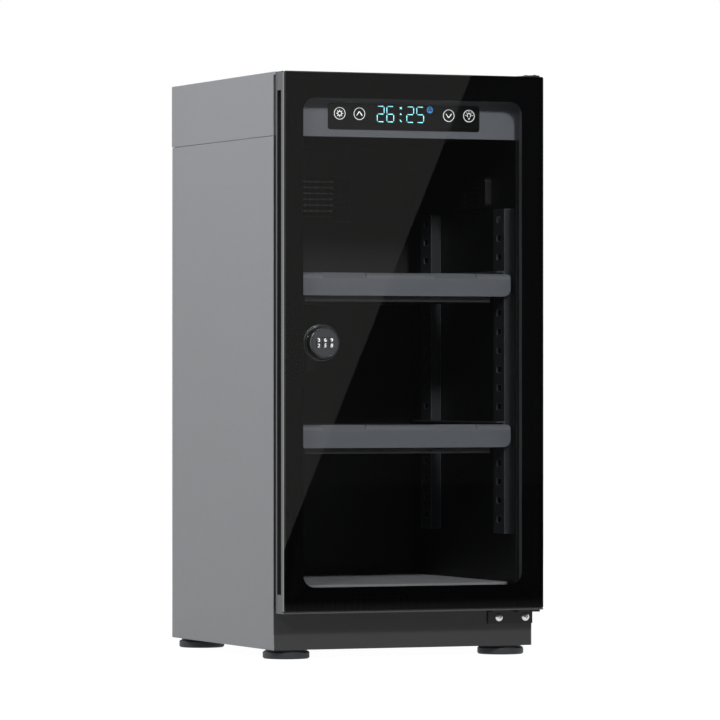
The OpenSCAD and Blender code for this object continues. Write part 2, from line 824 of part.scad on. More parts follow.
// Glass plate with the hole for the lock
module door_glass() color(glass_tint) difference() {
    along_y(door_front, glass_t)
        round_rect([left_x, door_z + glass_lip], [right_x, door_top], glass_r);
    y_cylinder([lock_x, door_front - overrun, lock_z], barrel_r + barrel_gap, glass_t + 2 * overrun);
}

// Black print on the back of the glass, open at the window
module glass_border() color(frame_black) along_y(print_y, print_t) difference() {
    round_rect([left_x, door_z + glass_lip], [right_x, door_top], glass_r);
    round_rect([left_x + border_side, door_z + border_end],
               [right_x - border_side, door_top - border_end], window_r);
}

// Handle extrusion with a finger groove along the door's free edge
module handle_profile() color(aluminium_grey) translate([left_x, 0, door_z])
    linear_extrude(door_top - door_z) difference() {
        union() {
            rect([lip_r, profile_y], [profile_w, door_back]);
            rect([0, profile_y], [lip_r, profile_y + groove_front_t - lip_r]);
            rect([0, profile_y + groove_front_t + groove_w + lip_r], [lip_r, door_back - lip_r]);
            for (y = [profile_y + groove_front_t - lip_r, profile_y + groove_front_t + groove_w + lip_r,
                      door_back - lip_r])
                translate([lip_r, y]) circle(lip_r);
        }
        round_rect([-groove_d, profile_y + groove_front_t],
                   [groove_d, profile_y + groove_front_t + groove_w], lip_r);
    }

module handle_end_caps() color(aluminium_grey)
    for (z = [door_z, door_top - groove_cap_l])
        box([left_x + loose, profile_y + groove_front_t, z],
            [left_x + groove_d - lip_r, profile_y + groove_front_t + groove_w, z + groove_cap_l]);

// Box section of the hinge side with blind holes for the bushes
module hinge_side_profile() color(aluminium_grey) difference() {
    translate([0, 0, door_z]) linear_extrude(door_top - door_z)
        round_rect([right_x - profile_w, profile_y], [right_x, door_back], lip_r);
    translate([right_x - profile_w + rail_wall, profile_y + rail_wall, door_z + bush_l + rail_wall])
        cube([profile_w - 2 * rail_wall, door_back - profile_y - 2 * rail_wall,
              door_top - door_z - 2 * (bush_l + rail_wall)]);
    for (z = [door_z - overrun, door_top - bush_l])
        translate([hinge_x, hinge_y, z]) cylinder(r = bush_r, h = bush_l + overrun);
}

// Hollow rail between the two upright profiles
module rail(low, high) along_x(left_x + profile_w, body_w - 2 * profile_w) difference() {
    rect([profile_y, low], [door_back, high]);
    rect([profile_y + rail_wall, low + rail_wall], [door_back - rail_wall, high - rail_wall]);
}

module top_rail() color(aluminium_grey) rail(door_top - profile_w, door_top);

// Bottom rail with the lip that the glass stands on
module bottom_rail() color(aluminium_grey) {
    rail(door_z, door_z + profile_w);
    box([left_x, door_front, door_z], [right_x, profile_y, door_z + glass_lip]);
}

// Black frame behind the glass, inside the profiles
module door_inner_frame() color(frame_black) along_y(profile_y, inner_frame_d) difference() {
    rect([left_x + profile_w, door_z + profile_w], [right_x - profile_w, door_top - profile_w]);
    round_rect([left_x + profile_w + inner_frame_w, door_z + profile_w + inner_frame_w],
               [right_x - profile_w - inner_frame_w, door_top - profile_w - inner_frame_w],
               inner_frame_r);
}

// Rubber gasket: a stem on the inner frame and the bulb that meets the body
module door_gasket() color(rubber_black) {
    stem_y = profile_y + inner_frame_d;
    inner = profile_w + gasket_stem;
    along_y(stem_y, door_back - stem_y) difference() {
        rect([left_x + profile_w, door_z + profile_w], [right_x - profile_w, door_top - profile_w]);
        round_rect([left_x + inner, door_z + inner], [right_x - inner, door_top - inner], gasket_r);
    }
    along_y(door_back, door_gap - gasket_gap) difference() {
        round_rect([left_x + gasket_inset, door_z + gasket_inset],
                   [right_x - gasket_inset, door_top - gasket_inset], gasket_r);
        round_rect([left_x + inner, door_z + inner], [right_x - inner, door_top - inner], gasket_r);
    }
}

module hinge_bushes() color(rubber_black) for (z = [door_z, door_top - bush_l])
    translate([hinge_x, hinge_y, z]) difference() {
        cylinder(r = bush_r, h = bush_l);
        translate([0, 0, -overrun]) cylinder(r = hinge_pin_r + running, h = bush_l + 2 * overrun);
    }

// Turns a lock piece so that its +Z points forward out of the glass
module on_glass() translate([lock_x, door_front, lock_z]) rotate([90, 0, 0]) children();

// Bezel: a flat flange on the glass, a domed ring on it, a barrel through the glass and a
// sleeve for the spindle
module lock_bezel() color(frame_black) on_glass() {
    bore_r = knob_r + bezel_bore_gap;
    ring_r = bezel_r - bezel_ledge;
    dome_z = (pow(bezel_front_r, 2) + pow(bezel_h, 2) - pow(ring_r, 2) - pow(bezel_foot, 2))
             / (2 * (bezel_h - bezel_foot));
    dome_r = norm([bezel_front_r, bezel_h - dome_z]);
    difference() {
        union() {
            cylinder(r = bezel_r, h = bezel_foot);
            intersection() {
                cylinder(r = ring_r, h = bezel_h);
                translate([0, 0, dome_z]) sphere(r = dome_r);
            }
        }
        translate([0, 0, -overrun]) cylinder(r = bore_r, h = bezel_h + 2 * overrun);
    }
    rotate_extrude() {
        rect([bore_r, -barrel_l], [barrel_r, bezel_foot / 2]);
        rect([sleeve_r, -barrel_l], [barrel_r, -barrel_l + barrel_floor]);
        rect([spindle_r + running, -sleeve_l], [sleeve_r, -barrel_l + barrel_floor]);
    }
}

// Ring nut that clamps the lock to the back of the glass
module lock_nut() color(bright_steel) on_glass()
    translate([0, 0, -glass_t - print_t - nut_t]) difference() {
        cylinder(r = bezel_r, h = nut_t);
        translate([0, 0, -overrun]) cylinder(r = barrel_r + running, h = nut_t + 2 * overrun);
    }

function wheel_x(index) = lock_x + (index - 2) * wheel_pitch;

// Turning face of the lock with a pocket for each number wheel
module lock_knob() color(frame_black) difference() {
    on_glass() translate([0, 0, -knob_back]) cylinder(r = knob_r, h = knob_back + knob_face);
    for (i = [1 : 3]) x_cylinder([wheel_x(i), wheel_y, lock_z], pocket_r, pocket_w);
    x_cylinder([lock_x, wheel_y, lock_z], axle_r, axle_l);
}

module wheel_axle() color(bright_steel) x_cylinder([lock_x, wheel_y, lock_z], axle_r, axle_l);

// Spindle from the knob to the cam, with a thinner neck for the cam and its nut
module lock_spindle() color(bright_steel) {
    y_cylinder([lock_x, knob_rear_y, lock_z], spindle_r, cam_y - knob_rear_y);
    y_cylinder([lock_x, cam_y - cam_gap, lock_z], spindle_neck_r, cam_gap + cam_t + cam_nut_t);
}

// Cam that swings behind the left side of the front frame, with its nut
module lock_cam() color(bright_steel) {
    along_y(cam_y, cam_t) difference() {
        union() {
            translate([lock_x, lock_z]) circle(cam_hub_r);
            translate([lock_x, lock_z - cam_l + cam_end_r]) circle(cam_end_r);
            rect([lock_x - cam_end_r, lock_z - cam_l + cam_end_r], [lock_x + cam_end_r, lock_z]);
        }
        translate([lock_x, lock_z]) circle(spindle_neck_r);
    }
    y_nut([lock_x, cam_y + cam_t, lock_z]);
}

// Hexagon nut along Y
module y_nut(at) translate(at) rotate([-90, 0, 0]) difference() {
    cylinder(r = cam_nut_r, h = cam_nut_t, $fn = nut_sides);
    translate([0, 0, -overrun]) cylinder(r = spindle_neck_r, h = cam_nut_t + 2 * overrun);
}

// Number wheel with a notch between each two numbers; one of the notches faces forward
module number_wheel(index) color(frame_black) translate([wheel_x(index), wheel_y, lock_z])
    rotate([0, 90, 0]) difference() {
        cylinder(r = wheel_r, h = wheel_w, center = true);
        cylinder(r = axle_r + running, h = wheel_w + 2 * overrun, center = true);
        for (i = [0 : wheel_digits - 1]) rotate([0, 0, (i + 0.5) * 360 / wheel_digits])
            translate([wheel_r, 0, 0])
                cylinder(r = wheel_notch_r, h = wheel_w + 2 * overrun, center = true);
    }

module number_wheel_1() number_wheel(1);
module number_wheel_2() number_wheel(2);
module number_wheel_3() number_wheel(3);

// Steel shelf: a deck that runs in the channels, with a skirt below and low walls above
module shelf_tray(index) color(frame_black) {
    deck_z = shelf_z(index) + runner_rise + runner_t + loose;
    half_w = -bay_left - upright_d - runner_t - tray_side_gap;
    y = front_y + shelf_y + shelf_front_t;
    skirt_x = right_x - shelf_side_gap - skirt_inset;
    box([-half_w, y, deck_z], [half_w, y + tray_l, deck_z + sheet_t]);
    both_sides() box([-half_w, y, deck_z], [-half_w + sheet_t, y + tray_l, deck_z + tray_wall_h]);
    box([-half_w, y + tray_l - sheet_t, deck_z], [half_w, y + tray_l, deck_z + tray_wall_h]);
    translate([0, 0, shelf_z(index) - skirt_drop])
        linear_extrude(deck_z + sheet_t / 2 - shelf_z(index) + skirt_drop) difference() {
            rect([-skirt_x, y], [skirt_x, y + tray_l - skirt_end]);
            rect([-skirt_x + sheet_t, y + sheet_t], [skirt_x - sheet_t, y + tray_l - skirt_end - sheet_t]);
        }
}

// Shelf front: a plate with a rolled top edge and two finger scoops in it
module shelf_front(index) color(fascia_grey) {
    low = shelf_z(index);
    y = front_y + shelf_y;
    half_w = right_x - shelf_side_gap;
    roll_z = low + shelf_front_h - shelf_roll_r;
    difference() {
        intersection() {
            along_x(-half_w, 2 * half_w) {
                rect([y, low], [y + shelf_front_t, roll_z]);
                rect([y + shelf_roll_r, low], [y + shelf_front_t, low + shelf_front_h]);
                translate([y + shelf_roll_r, roll_z]) circle(shelf_roll_r);
            }
            along_y(y, shelf_front_t) {
                round_rect([-half_w, low], [half_w, low + shelf_front_h - shelf_front_end_r],
                           shelf_front_r);
                round_rect([-half_w, low + shelf_front_r], [half_w, low + shelf_front_h],
                           shelf_front_end_r);
            }
        }
        for (x = [-scoop_start - scoop_w, scoop_start])
            along_x(x, scoop_w) polygon([
                [y - overrun, roll_z - overrun],
                [y + shelf_roll_r + overrun, roll_z + shelf_roll_r + overrun],
                [y - overrun, roll_z + shelf_roll_r + overrun]]);
    }
}

// Foam mat on a shelf's deck
module shelf_mat(index) color(lining_black) {
    deck_z = shelf_z(index) + runner_rise + runner_t + loose;
    half_w = -bay_left - upright_d - runner_t - tray_side_gap - sheet_t - loose;
    y = front_y + shelf_y + shelf_front_t;
    translate([0, 0, deck_z + sheet_t]) linear_extrude(shelf_mat_t)
        round_rect([-half_w, y + mat_gap], [half_w, y + tray_l - sheet_t - mat_gap], shelf_mat_r);
}

module lower_shelf_tray() shelf_tray(lower_slot);
module lower_shelf_front() shelf_front(lower_slot);
module lower_shelf_mat() shelf_mat(lower_slot);
module upper_shelf_tray() shelf_tray(upper_slot);
module upper_shelf_front() shelf_front(upper_slot);
module upper_shelf_mat() shelf_mat(upper_slot);

left_side_panel();
right_side_panel();
base_pan();
top_housing();
rear_panel();
plinth_panel();
front_frame();
inner_left_panel();
inner_right_panel();
inner_back_panel();
inner_floor_panel();
inner_ceiling_panel();
floor_mat();
left_uprights();
right_uprights();
lower_shelf_runners();
upper_shelf_runners();
control_fascia();
display_module();
control_board();
power_module();
lamp_strip();
humidity_sensor();
inner_vent_cover();
cold_plate();
thermoelectric_module();
heat_sink();
rear_vent_cover();
power_inlet();
feet();
foot_screws();
lower_hinge_bracket();
upper_hinge_bracket();
hinge_pins();
hinge_screws();
door_glass();
glass_border();
handle_profile();
handle_end_caps();
hinge_side_profile();
top_rail();
bottom_rail();
door_inner_frame();
door_gasket();
hinge_bushes();
lock_bezel();
lock_nut();
lock_knob();
wheel_axle();
lock_spindle();
lock_cam();
number_wheel_1();
number_wheel_2();
number_wheel_3();
lower_shelf_tray();
lower_shelf_front();
lower_shelf_mat();
upper_shelf_tray();
upper_shelf_front();
upper_shelf_mat();
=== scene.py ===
"""Looks of a camera dry cabinet: a grey steel body, a glass door with a combination lock,
pull-out shelves and a display above the storage bay.

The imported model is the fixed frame. Lengths are in metres, X to the right seen from the
front, Y from the door to the back and Z up.
"""
from __future__ import annotations

import logging
import math
from collections.abc import Iterable
from dataclasses import dataclass
from enum import Enum

import bmesh
import bpy
from mathutils import Matrix, Vector

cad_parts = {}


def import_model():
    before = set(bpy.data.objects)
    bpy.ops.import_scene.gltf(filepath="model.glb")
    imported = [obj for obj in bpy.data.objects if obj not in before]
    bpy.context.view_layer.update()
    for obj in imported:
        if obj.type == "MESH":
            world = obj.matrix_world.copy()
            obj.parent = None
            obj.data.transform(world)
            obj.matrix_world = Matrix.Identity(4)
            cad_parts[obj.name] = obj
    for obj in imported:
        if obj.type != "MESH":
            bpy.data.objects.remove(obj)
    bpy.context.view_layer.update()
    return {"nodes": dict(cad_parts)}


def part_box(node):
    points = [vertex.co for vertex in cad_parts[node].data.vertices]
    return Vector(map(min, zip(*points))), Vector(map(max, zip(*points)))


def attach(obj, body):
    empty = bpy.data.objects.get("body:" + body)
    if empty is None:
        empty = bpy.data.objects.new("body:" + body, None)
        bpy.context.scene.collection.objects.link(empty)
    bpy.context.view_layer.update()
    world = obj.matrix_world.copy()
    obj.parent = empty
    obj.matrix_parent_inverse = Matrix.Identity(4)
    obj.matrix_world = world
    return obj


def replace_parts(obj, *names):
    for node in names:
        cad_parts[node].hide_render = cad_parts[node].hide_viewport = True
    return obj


LOG = logging.getLogger("dry_cabinet")
MM = 0.001
# Turns from the XY plane to a surface that faces the front or the back
FRONT = Matrix.Rotation(math.radians(90), 4, "X")
BACK = Matrix.Rotation(math.radians(180), 4, "Z") @ FRONT

# Points closer than these are joined, in metres and in millimetres
WELD_M, WELD_MM = 1e-7, 1e-4
# Thickness of a print
PRINT_MM = 0.06
# Degrees between the points of a ring, and the fewest steps of a short one
RING_STEP, RING_FEWEST = 8, 6
# Angles of the first screw's recess, and from one screw to the next
FIRST_TURN, NEXT_TURN = 20, 37

Point = tuple[float, float, float]
Spot = tuple[float, float]


def linear(colour: str) -> tuple[float, float, float, float]:
    """Turns an sRGB hex colour into the linear values that a shader takes.

    Args:
        colour: Six hex digits after a hash sign.

    Returns:
        Linear red, green and blue, and an alpha of 1.
    """
    parts = [int(colour[i:i + 2], 16) / 255 for i in (1, 3, 5)]
    red, green, blue = (p / 12.92 if p <= 0.04045 else ((p + 0.055) / 1.055) ** 2.4
                        for p in parts)
    return red, green, blue, 1.0


def add(tree: bpy.types.NodeTree, kind: str, settings: dict | None = None,
        links: dict | None = None) -> bpy.types.Node:
    """Adds a node with its settings and its incoming links.

    Args:
        tree: Node tree that the node goes into.
        kind: Blender's type name of the node.
        settings: Values of its attributes, or of its inputs by name or number.
        links: Sockets that feed its inputs, by name or number.

    Returns:
        The new node.
    """
    made = tree.nodes.new(kind)
    for key, value in (settings or {}).items():
        if isinstance(key, str) and hasattr(made, key):
            setattr(made, key, value)
        else:
            made.inputs[key].default_value = value
    for key, socket in (links or {}).items():
        tree.links.new(socket, made.inputs[key])
    return made


def feed(tree: bpy.types.NodeTree, kind: str, setting: dict[str, str],
         terms: dict[int, bpy.types.NodeSocket | float]) -> bpy.types.NodeSocket:
    """Adds a node whose inputs take sockets or numbers.

    Args:
        tree: Node tree that the node goes into.
        kind: Blender's type name of the node.
        setting: The attribute that says what the node does.
        terms: Sockets or numbers by the number of their input.

    Returns:
        The node's first output.
    """
    numbers = {key: term for key, term in terms.items() if isinstance(term, (int, float))}
    sockets = {key: term for key, term in terms.items() if key not in numbers}
    return add(tree, kind, {**setting, **numbers}, sockets).outputs[0]


def calc(tree: bpy.types.NodeTree, operation: str,
         *terms: bpy.types.NodeSocket | float) -> bpy.types.NodeSocket:
    """Adds a math node that works on sockets or numbers, and returns its result's socket."""
    return feed(tree, "ShaderNodeMath", {"operation": operation}, dict(enumerate(terms)))


def blend(tree: bpy.types.NodeTree, share: bpy.types.NodeSocket,
          first: bpy.types.NodeSocket | float,
          second: bpy.types.NodeSocket | float) -> bpy.types.NodeSocket:
    """Adds a mix, the first value at a share of 0, the second at 1, and returns its socket."""
    return feed(tree, "ShaderNodeMix", {"data_type": "FLOAT"}, {0: share, 2: first, 3: second})


def blank(name: str) -> bpy.types.Material:
    """Makes a material without nodes.

    Args:
        name: Name of the material.

    Returns:
        The new material.
    """
    made = bpy.data.materials.new(name)
    made.use_nodes = True
    made.node_tree.nodes.clear()
    return made


@dataclass(frozen=True)
class Ramp:
    """A level that changes evenly from low to high while a value goes from start to end."""

    start: float
    end: float
    low: float
    high: float

    def wire(self, tree: bpy.types.NodeTree, value: bpy.types.NodeSocket) -> bpy.types.NodeSocket:
        """Adds the ramp to a node tree.

        Args:
            tree: Node tree that it goes into.
            value: The value that it follows.

        Returns:
            The level's socket.
        """
        return add(tree, "ShaderNodeMapRange", {"From Min": self.start, "From Max": self.end,
                                                "To Min": self.low, "To Max": self.high},
                   {"Value": value}).outputs["Result"]


class Grain(Enum):
    """Ways in which a surface's fine relief is laid."""

    PEEL = "rounded bumps, as on powder coat"
    MOULDED = "spark-eroded grain, as on moulded plastic"
    DRAWN = "long lines along Z, as on an extrusion"
    CELLS = "open cells, as on foam"
    SMOOTH = "no relief"


NOISE_DETAIL = {Grain.PEEL: 1.0, Grain.MOULDED: 3.0, Grain.DRAWN: 2.0, Grain.SMOOTH: 3.0}
DRIFT_DETAIL = 3.0
# Most values of a noise pattern lie in this range
PATTERN_RANGE = (0.3, 0.7)
# Lines of a drawn surface are this many times as long as they are wide
LINE_STRETCH = 400
RELIEF_STRENGTH = 0.5
EDGE_SAMPLES, EDGE_HIGHLIGHT_SAMPLES = 4, 6
# The painted edge highlight reaches twice as far from an edge as its rounding, and grows
# with the turn of the normal there, from the first cosine to the second
EDGE_HIGHLIGHT_REACH = 2
EDGE_HIGHLIGHT_COSINES = (0.985, 0.85)


@dataclass(frozen=True)
class Finish:
    """A surface: what it is made of and how it was made."""

    name: str
    colour: str
    roughness: float
    metallic: float = 0.0
    ior: float = 1.5
    coat: float = 0.0
    coat_roughness: float = 0.05
    grain: Grain = Grain.MOULDED
    grain_mm: float = 1.0
    relief_mm: float = 0.02
    mottle: float = 0.03
    mottle_mm: float = 90.0
    sheen_spread: float = 0.06
    edge_mm: float = 0.4
    # Share by which the colour is lightened near edges, a painted highlight
    edge_light: float = 0.0
    alpha: float = 1.0
    glow: float = 0.0

    def material(self) -> bpy.types.Material:
        """Returns the material, which is made on first use."""
        known = bpy.data.materials.get(self.name)
        return known if known is not None else self._build()

    def _build(self) -> bpy.types.Material:
        """Makes the material's node tree.

        Returns:
            The new material.
        """
        made = blank(self.name)
        tree = made.node_tree
        place = add(tree, "ShaderNodeTexCoord").outputs["Object"]
        links = {"Normal": self._relief(tree, place)}
        if self.mottle or self.edge_light:
            links["Base Color"] = self._tone(tree, place)
        if self.sheen_spread:
            sheen = Ramp(*PATTERN_RANGE, max(0.0, self.roughness - self.sheen_spread),
                         min(1.0, self.roughness + self.sheen_spread))
            links["Roughness"] = sheen.wire(tree, self._fine(tree, place))
        shader = add(tree, "ShaderNodeBsdfPrincipled", {
            "Base Color": linear(self.colour), "Roughness": self.roughness,
            "Metallic": self.metallic, "IOR": self.ior, "Coat Weight": self.coat,
            "Coat Roughness": self.coat_roughness, "Alpha": self.alpha}, links)
        if self.glow:
            shader.inputs["Emission Color"].default_value = linear(self.colour)
            shader.inputs["Emission Strength"].default_value = self.glow
        add(tree, "ShaderNodeOutputMaterial", {}, {"Surface": shader.outputs["BSDF"]})
        return made

    def _fine(self, tree: bpy.types.NodeTree,
              place: bpy.types.NodeSocket) -> bpy.types.NodeSocket:
        """Adds the fine pattern that drives gloss and relief.

        Args:
            tree: The material's node tree.
            place: Object coordinates.

        Returns:
            The pattern's value, about 0.5 on average.
        """
        scale = 1 / (self.grain_mm * MM)
        if self.grain is Grain.CELLS:
            return add(tree, "ShaderNodeTexVoronoi", {"Scale": scale},
                       {"Vector": place}).outputs["Distance"]
        if self.grain is Grain.DRAWN:
            place = add(tree, "ShaderNodeMapping", {"Scale": (scale, scale, scale / LINE_STRETCH)},
                        {"Vector": place}).outputs["Vector"]
            scale = 1.0
        return add(tree, "ShaderNodeTexNoise",
                   {"Scale": scale, "Detail": NOISE_DETAIL[self.grain]},
                   {"Vector": place}).outputs["Fac"]

    def _shade(self, change: float) -> tuple[float, float, float, float]:
        """Returns the finish's linear colour, changed by a share of itself."""
        red, green, blue = (min(1.0, c * (1 + change)) for c in linear(self.colour)[:3])
        return red, green, blue, 1.0

    def _tone(self, tree: bpy.types.NodeTree,
              place: bpy.types.NodeSocket) -> bpy.types.NodeSocket:
        """Adds the colour with its slow drift and a painted highlight along its edges.

        Args:
            tree: The material's node tree.
            place: Object coordinates.

        Returns:
            The colour socket.
        """
        broad = add(tree, "ShaderNodeTexNoise",
                    {"Scale": 1 / (self.mottle_mm * MM), "Detail": DRIFT_DETAIL},
                    {"Vector": place}).outputs["Fac"]
        low, high = self._shade(-self.mottle), self._shade(self.mottle)
        drift = add(tree, "ShaderNodeMix", {"data_type": "RGBA", 6: low, 7: high},
                    {0: broad}).outputs[2]
        if not self.edge_light:
            return drift
        # Painted highlight: the colour is lightened where the rounded normal turns from the true
        # one
        rounded = add(tree, "ShaderNodeBevel",
                      {"samples": EDGE_HIGHLIGHT_SAMPLES, "Radius": EDGE_HIGHLIGHT_REACH * self.edge_mm * MM})
        true = add(tree, "ShaderNodeNewGeometry").outputs["Normal"]
        turn = add(tree, "ShaderNodeVectorMath", {"operation": "DOT_PRODUCT"},
                   {0: rounded.outputs["Normal"], 1: true}).outputs["Value"]
        share = Ramp(*EDGE_HIGHLIGHT_COSINES, 0.0, 1.0).wire(tree, turn)
        return add(tree, "ShaderNodeMix", {"data_type": "RGBA", 7: self._shade(self.edge_light)},
                   {0: share, 6: drift}).outputs[2]

    def _relief(self, tree: bpy.types.NodeTree,
                place: bpy.types.NodeSocket) -> bpy.types.NodeSocket:
        """Adds the rounded edges and the fine relief.

        Args:
            tree: The material's node tree.
            place: Object coordinates.

        Returns:
            The normal's socket.
        """
        edge = add(tree, "ShaderNodeBevel", {"samples": EDGE_SAMPLES,
                                             "Radius": self.edge_mm * MM}).outputs["Normal"]
        if self.grain is Grain.SMOOTH:
            return edge
        return add(tree, "ShaderNodeBump",
                   {"Strength": RELIEF_STRENGTH, "Distance": self.relief_mm * MM},
                   {"Height": self._fine(tree, place), "Normal": edge}).outputs["Normal"]


@dataclass(frozen=True)
class RimmedGlass(Finish):
    """Tinted glass with painted shade on its ground rim, which is drawn opaque and dark.
    Light is tinted once, where it enters.

    The rim starts at these distances from the middle, across and up, in metres.
    """

    rim: Spot = (0.1562, 0.2994)
    middle_z: float = 0.3543

    def _build(self) -> bpy.types.Material:
        """Makes the tinted glass and closes its alpha at the rim, where the shade is painted.

        Returns:
            The new material.
        """
        made = super()._build()
        tree = made.node_tree
        shader = next(n for n in tree.nodes if n.type == "BSDF_PRINCIPLED")
        place = add(tree, "ShaderNodeSeparateXYZ", {}, {
            "Vector": add(tree, "ShaderNodeTexCoord").outputs["Object"]}).outputs
        across = calc(tree, "ABSOLUTE", place["X"])
        up = calc(tree, "ABSOLUTE", calc(tree, "SUBTRACT", place["Z"], self.middle_z))
        # Painted shade: beyond these limits the rim is opaque in the glass's dark colour
        rim_shade_mask = [calc(tree, "GREATER_THAN", value, limit)
                  for value, limit in zip((across, up), self.rim)]
        inside = add(tree, "ShaderNodeNewGeometry").outputs["Backfacing"]
        tint = blend(tree, inside, self.alpha, 0.0)
        alpha = blend(tree, calc(tree, "MAXIMUM", *rim_shade_mask), tint, 1.0)
        tree.links.new(alpha, shader.inputs["Alpha"])
        return made


# Baked polyester powder on steel sheet: satin, with a faint orange peel that is drawn at
# about twice its size so that it shows
POWDER_GREY = Finish("powder_coat_grey", "#8E9094", 0.46, grain=Grain.PEEL, grain_mm=1.6,
                     relief_mm=0.03, mottle=0.02, edge_light=0.12)
# The same coat in black, a little glossier
POWDER_BLACK = Finish("powder_coat_black", "#353537", 0.34, grain=Grain.PEEL, grain_mm=1.4,
                      relief_mm=0.02, mottle=0.05, edge_light=0.5)
# Electrocoat on the folded hinge brackets, thinner and darker, with a painted highlight along
# their edges
ELECTROCOAT = Finish("electrocoat_black", "#141416", 0.4, grain=Grain.PEEL, grain_mm=0.8,
                     relief_mm=0.01, mottle=0.05, edge_mm=0.3, edge_light=2.5)
# Paint of the lining and of the small covers on it, a duller black
LINING_BLACK = Finish("lining_paint_black", "#0D0D0E", 0.5, grain=Grain.PEEL, grain_mm=1.5,
                      relief_mm=0.02, mottle=0.05)
# Painted uprights and runners, with a painted highlight along their folds
RAIL_BLACK = Finish("rail_paint_black", "#393C40", 0.36, grain=Grain.PEEL, grain_mm=1.2,
                    relief_mm=0.015, mottle=0.05, edge_mm=0.8, edge_light=3.0)
# Moulded ABS in grey, with the grain of a spark-eroded tool
ABS_GREY = Finish("moulded_abs_grey", "#787C83", 0.42, grain_mm=0.7, relief_mm=0.015,
                  mottle=0.02, edge_mm=0.6, edge_light=0.15)
# Moulded ABS in black
ABS_BLACK = Finish("moulded_abs_black", "#161617", 0.45, grain_mm=0.8, relief_mm=0.02,
                   mottle=0.04, edge_light=0.3)
# Moulded ABS of the door's inner frame, a lighter black
ABS_DARK = Finish("moulded_abs_dark", "#46484C", 0.42, grain_mm=0.8, relief_mm=0.02,
                  mottle=0.03, edge_light=0.3)
# Polished acrylic of the display's window and of the fan mark's blades
ACRYLIC_BLACK = Finish("polished_acrylic_black", "#0B0B0C", 0.16, ior=1.49, grain=Grain.SMOOTH,
                       mottle=0.02, sheen_spread=0.02)
# Ceramic ink fused to the back of the glass: next to no gloss of its own
INK_BLACK = Finish("ceramic_ink_black", "#060606", 0.6, ior=1.05, grain=Grain.SMOOTH,
                   mottle=0.0, edge_mm=0.1)
# Die-cast zinc under black lacquer, with a painted highlight round its edges
LACQUER_BLACK = Finish("lacquered_zinc_black", "#1A1B1D", 0.2, coat=1.0, grain=Grain.SMOOTH,
                       mottle=0.03, sheen_spread=0.03, edge_mm=0.35, edge_light=3.0)
# Turned face of the lock and its wheels, a little duller and greyer
LACQUER_SATIN = Finish("lacquered_zinc_satin", "#3A3C40", 0.36, grain_mm=0.5, relief_mm=0.01,
                       mottle=0.04, edge_mm=0.3, edge_light=0.5)
# Tempered float glass with a grey tint, and painted shade on its rim
TEMPERED_GLASS = RimmedGlass("tempered_float_glass", "#050607", 0.01, ior=1.52, coat=1.0,
                             coat_roughness=0.0, grain=Grain.SMOOTH, mottle=0.0,
                             sheen_spread=0.0, edge_mm=0.3, alpha=0.3)
# Extruded aluminium, etched and anodised: faint die lines along its length
ANODISED = Finish("anodised_extrusion", "#5B5C5E", 0.38, metallic=0.85, grain=Grain.DRAWN,
                  grain_mm=0.5, relief_mm=0.008, mottle=0.03, edge_mm=0.3, edge_light=0.15)
# Mill-finish aluminium of the heat sink and the cold plate
MILL_ALUMINIUM = Finish("mill_aluminium", "#A9ABAD", 0.3, metallic=1.0, grain=Grain.DRAWN,
                        grain_mm=0.6, relief_mm=0.01, mottle=0.05, edge_mm=0.15)
# Nickel plate on the hinge plate's screws, nearly a mirror
NICKEL = Finish("nickel_plate", "#E2E3E4", 0.1, metallic=1.0, grain=Grain.SMOOTH, mottle=0.02,
                sheen_spread=0.03, edge_mm=0.15)
# Zinc plate on stamped and turned steel
ZINC = Finish("zinc_plate", "#A7A9AC", 0.34, metallic=1.0, grain_mm=1.2, relief_mm=0.01,
              mottle=0.08, mottle_mm=12.0, edge_mm=0.15)
# Black zinc plate on the cam, the hinge pins and the roof's screws
BLACK_ZINC = Finish("black_zinc_plate", "#2E2F30", 0.36, metallic=0.7, grain_mm=1.0,
                    relief_mm=0.01, mottle=0.08, mottle_mm=12.0, edge_mm=0.2, edge_light=0.5)
# Moulded nitrile rubber, matt, with a slight bloom
RUBBER = Finish("moulded_rubber", "#282C31", 0.55, grain_mm=0.9, relief_mm=0.03, mottle=0.08,
                mottle_mm=14.0, edge_mm=0.6, edge_light=0.3)
# Soft PVC of the gasket, a dull grey
PVC_GREY = Finish("extruded_pvc_grey", "#7C7E82", 0.5, grain_mm=0.8, relief_mm=0.02,
                  mottle=0.05, edge_mm=0.6, edge_light=0.3)
# Closed-cell foam, light grey on the floor and black on the shelves
FOAM_GREY = Finish("eva_foam_grey", "#B0B1B4", 0.85, grain=Grain.CELLS, grain_mm=0.9,
                   relief_mm=0.12, mottle=0.04, sheen_spread=0.05, edge_mm=0.8)
FOAM_BLACK = Finish("eva_foam_black", "#232326", 0.85, grain=Grain.CELLS, grain_mm=0.9,
                    relief_mm=0.12, mottle=0.05, sheen_spread=0.05, edge_mm=0.8)
# Solder mask over glass fibre
SOLDER_MASK = Finish("solder_mask_green", "#1F5A38", 0.35, grain_mm=2.0, relief_mm=0.02,
                     mottle=0.08)
# Alumina plates of the thermoelectric module
ALUMINA = Finish("alumina_ceramic", "#DCDBD6", 0.5, grain_mm=0.5, relief_mm=0.01, mottle=0.02)
# Opal acrylic of the lamp
OPAL = Finish("opal_acrylic", "#DADAD6", 0.4, grain=Grain.SMOOTH, mottle=0.01)
# Flat even prints and lit shapes
FLAT = {"grain": Grain.SMOOTH, "mottle": 0.0, "edge_mm": 0.02}
# White print of the wheels' numbers, with a painted glow that makes them brighter
GLOWING_WHITE_INK = Finish("white_ink_painted_glow", "#E6E8E8", 0.5, glow=0.7, **FLAT)
# Backlit touch marks
LIT_WHITE = Finish("lit_white", "#E9EDED", 0.5, glow=0.9, **FLAT)
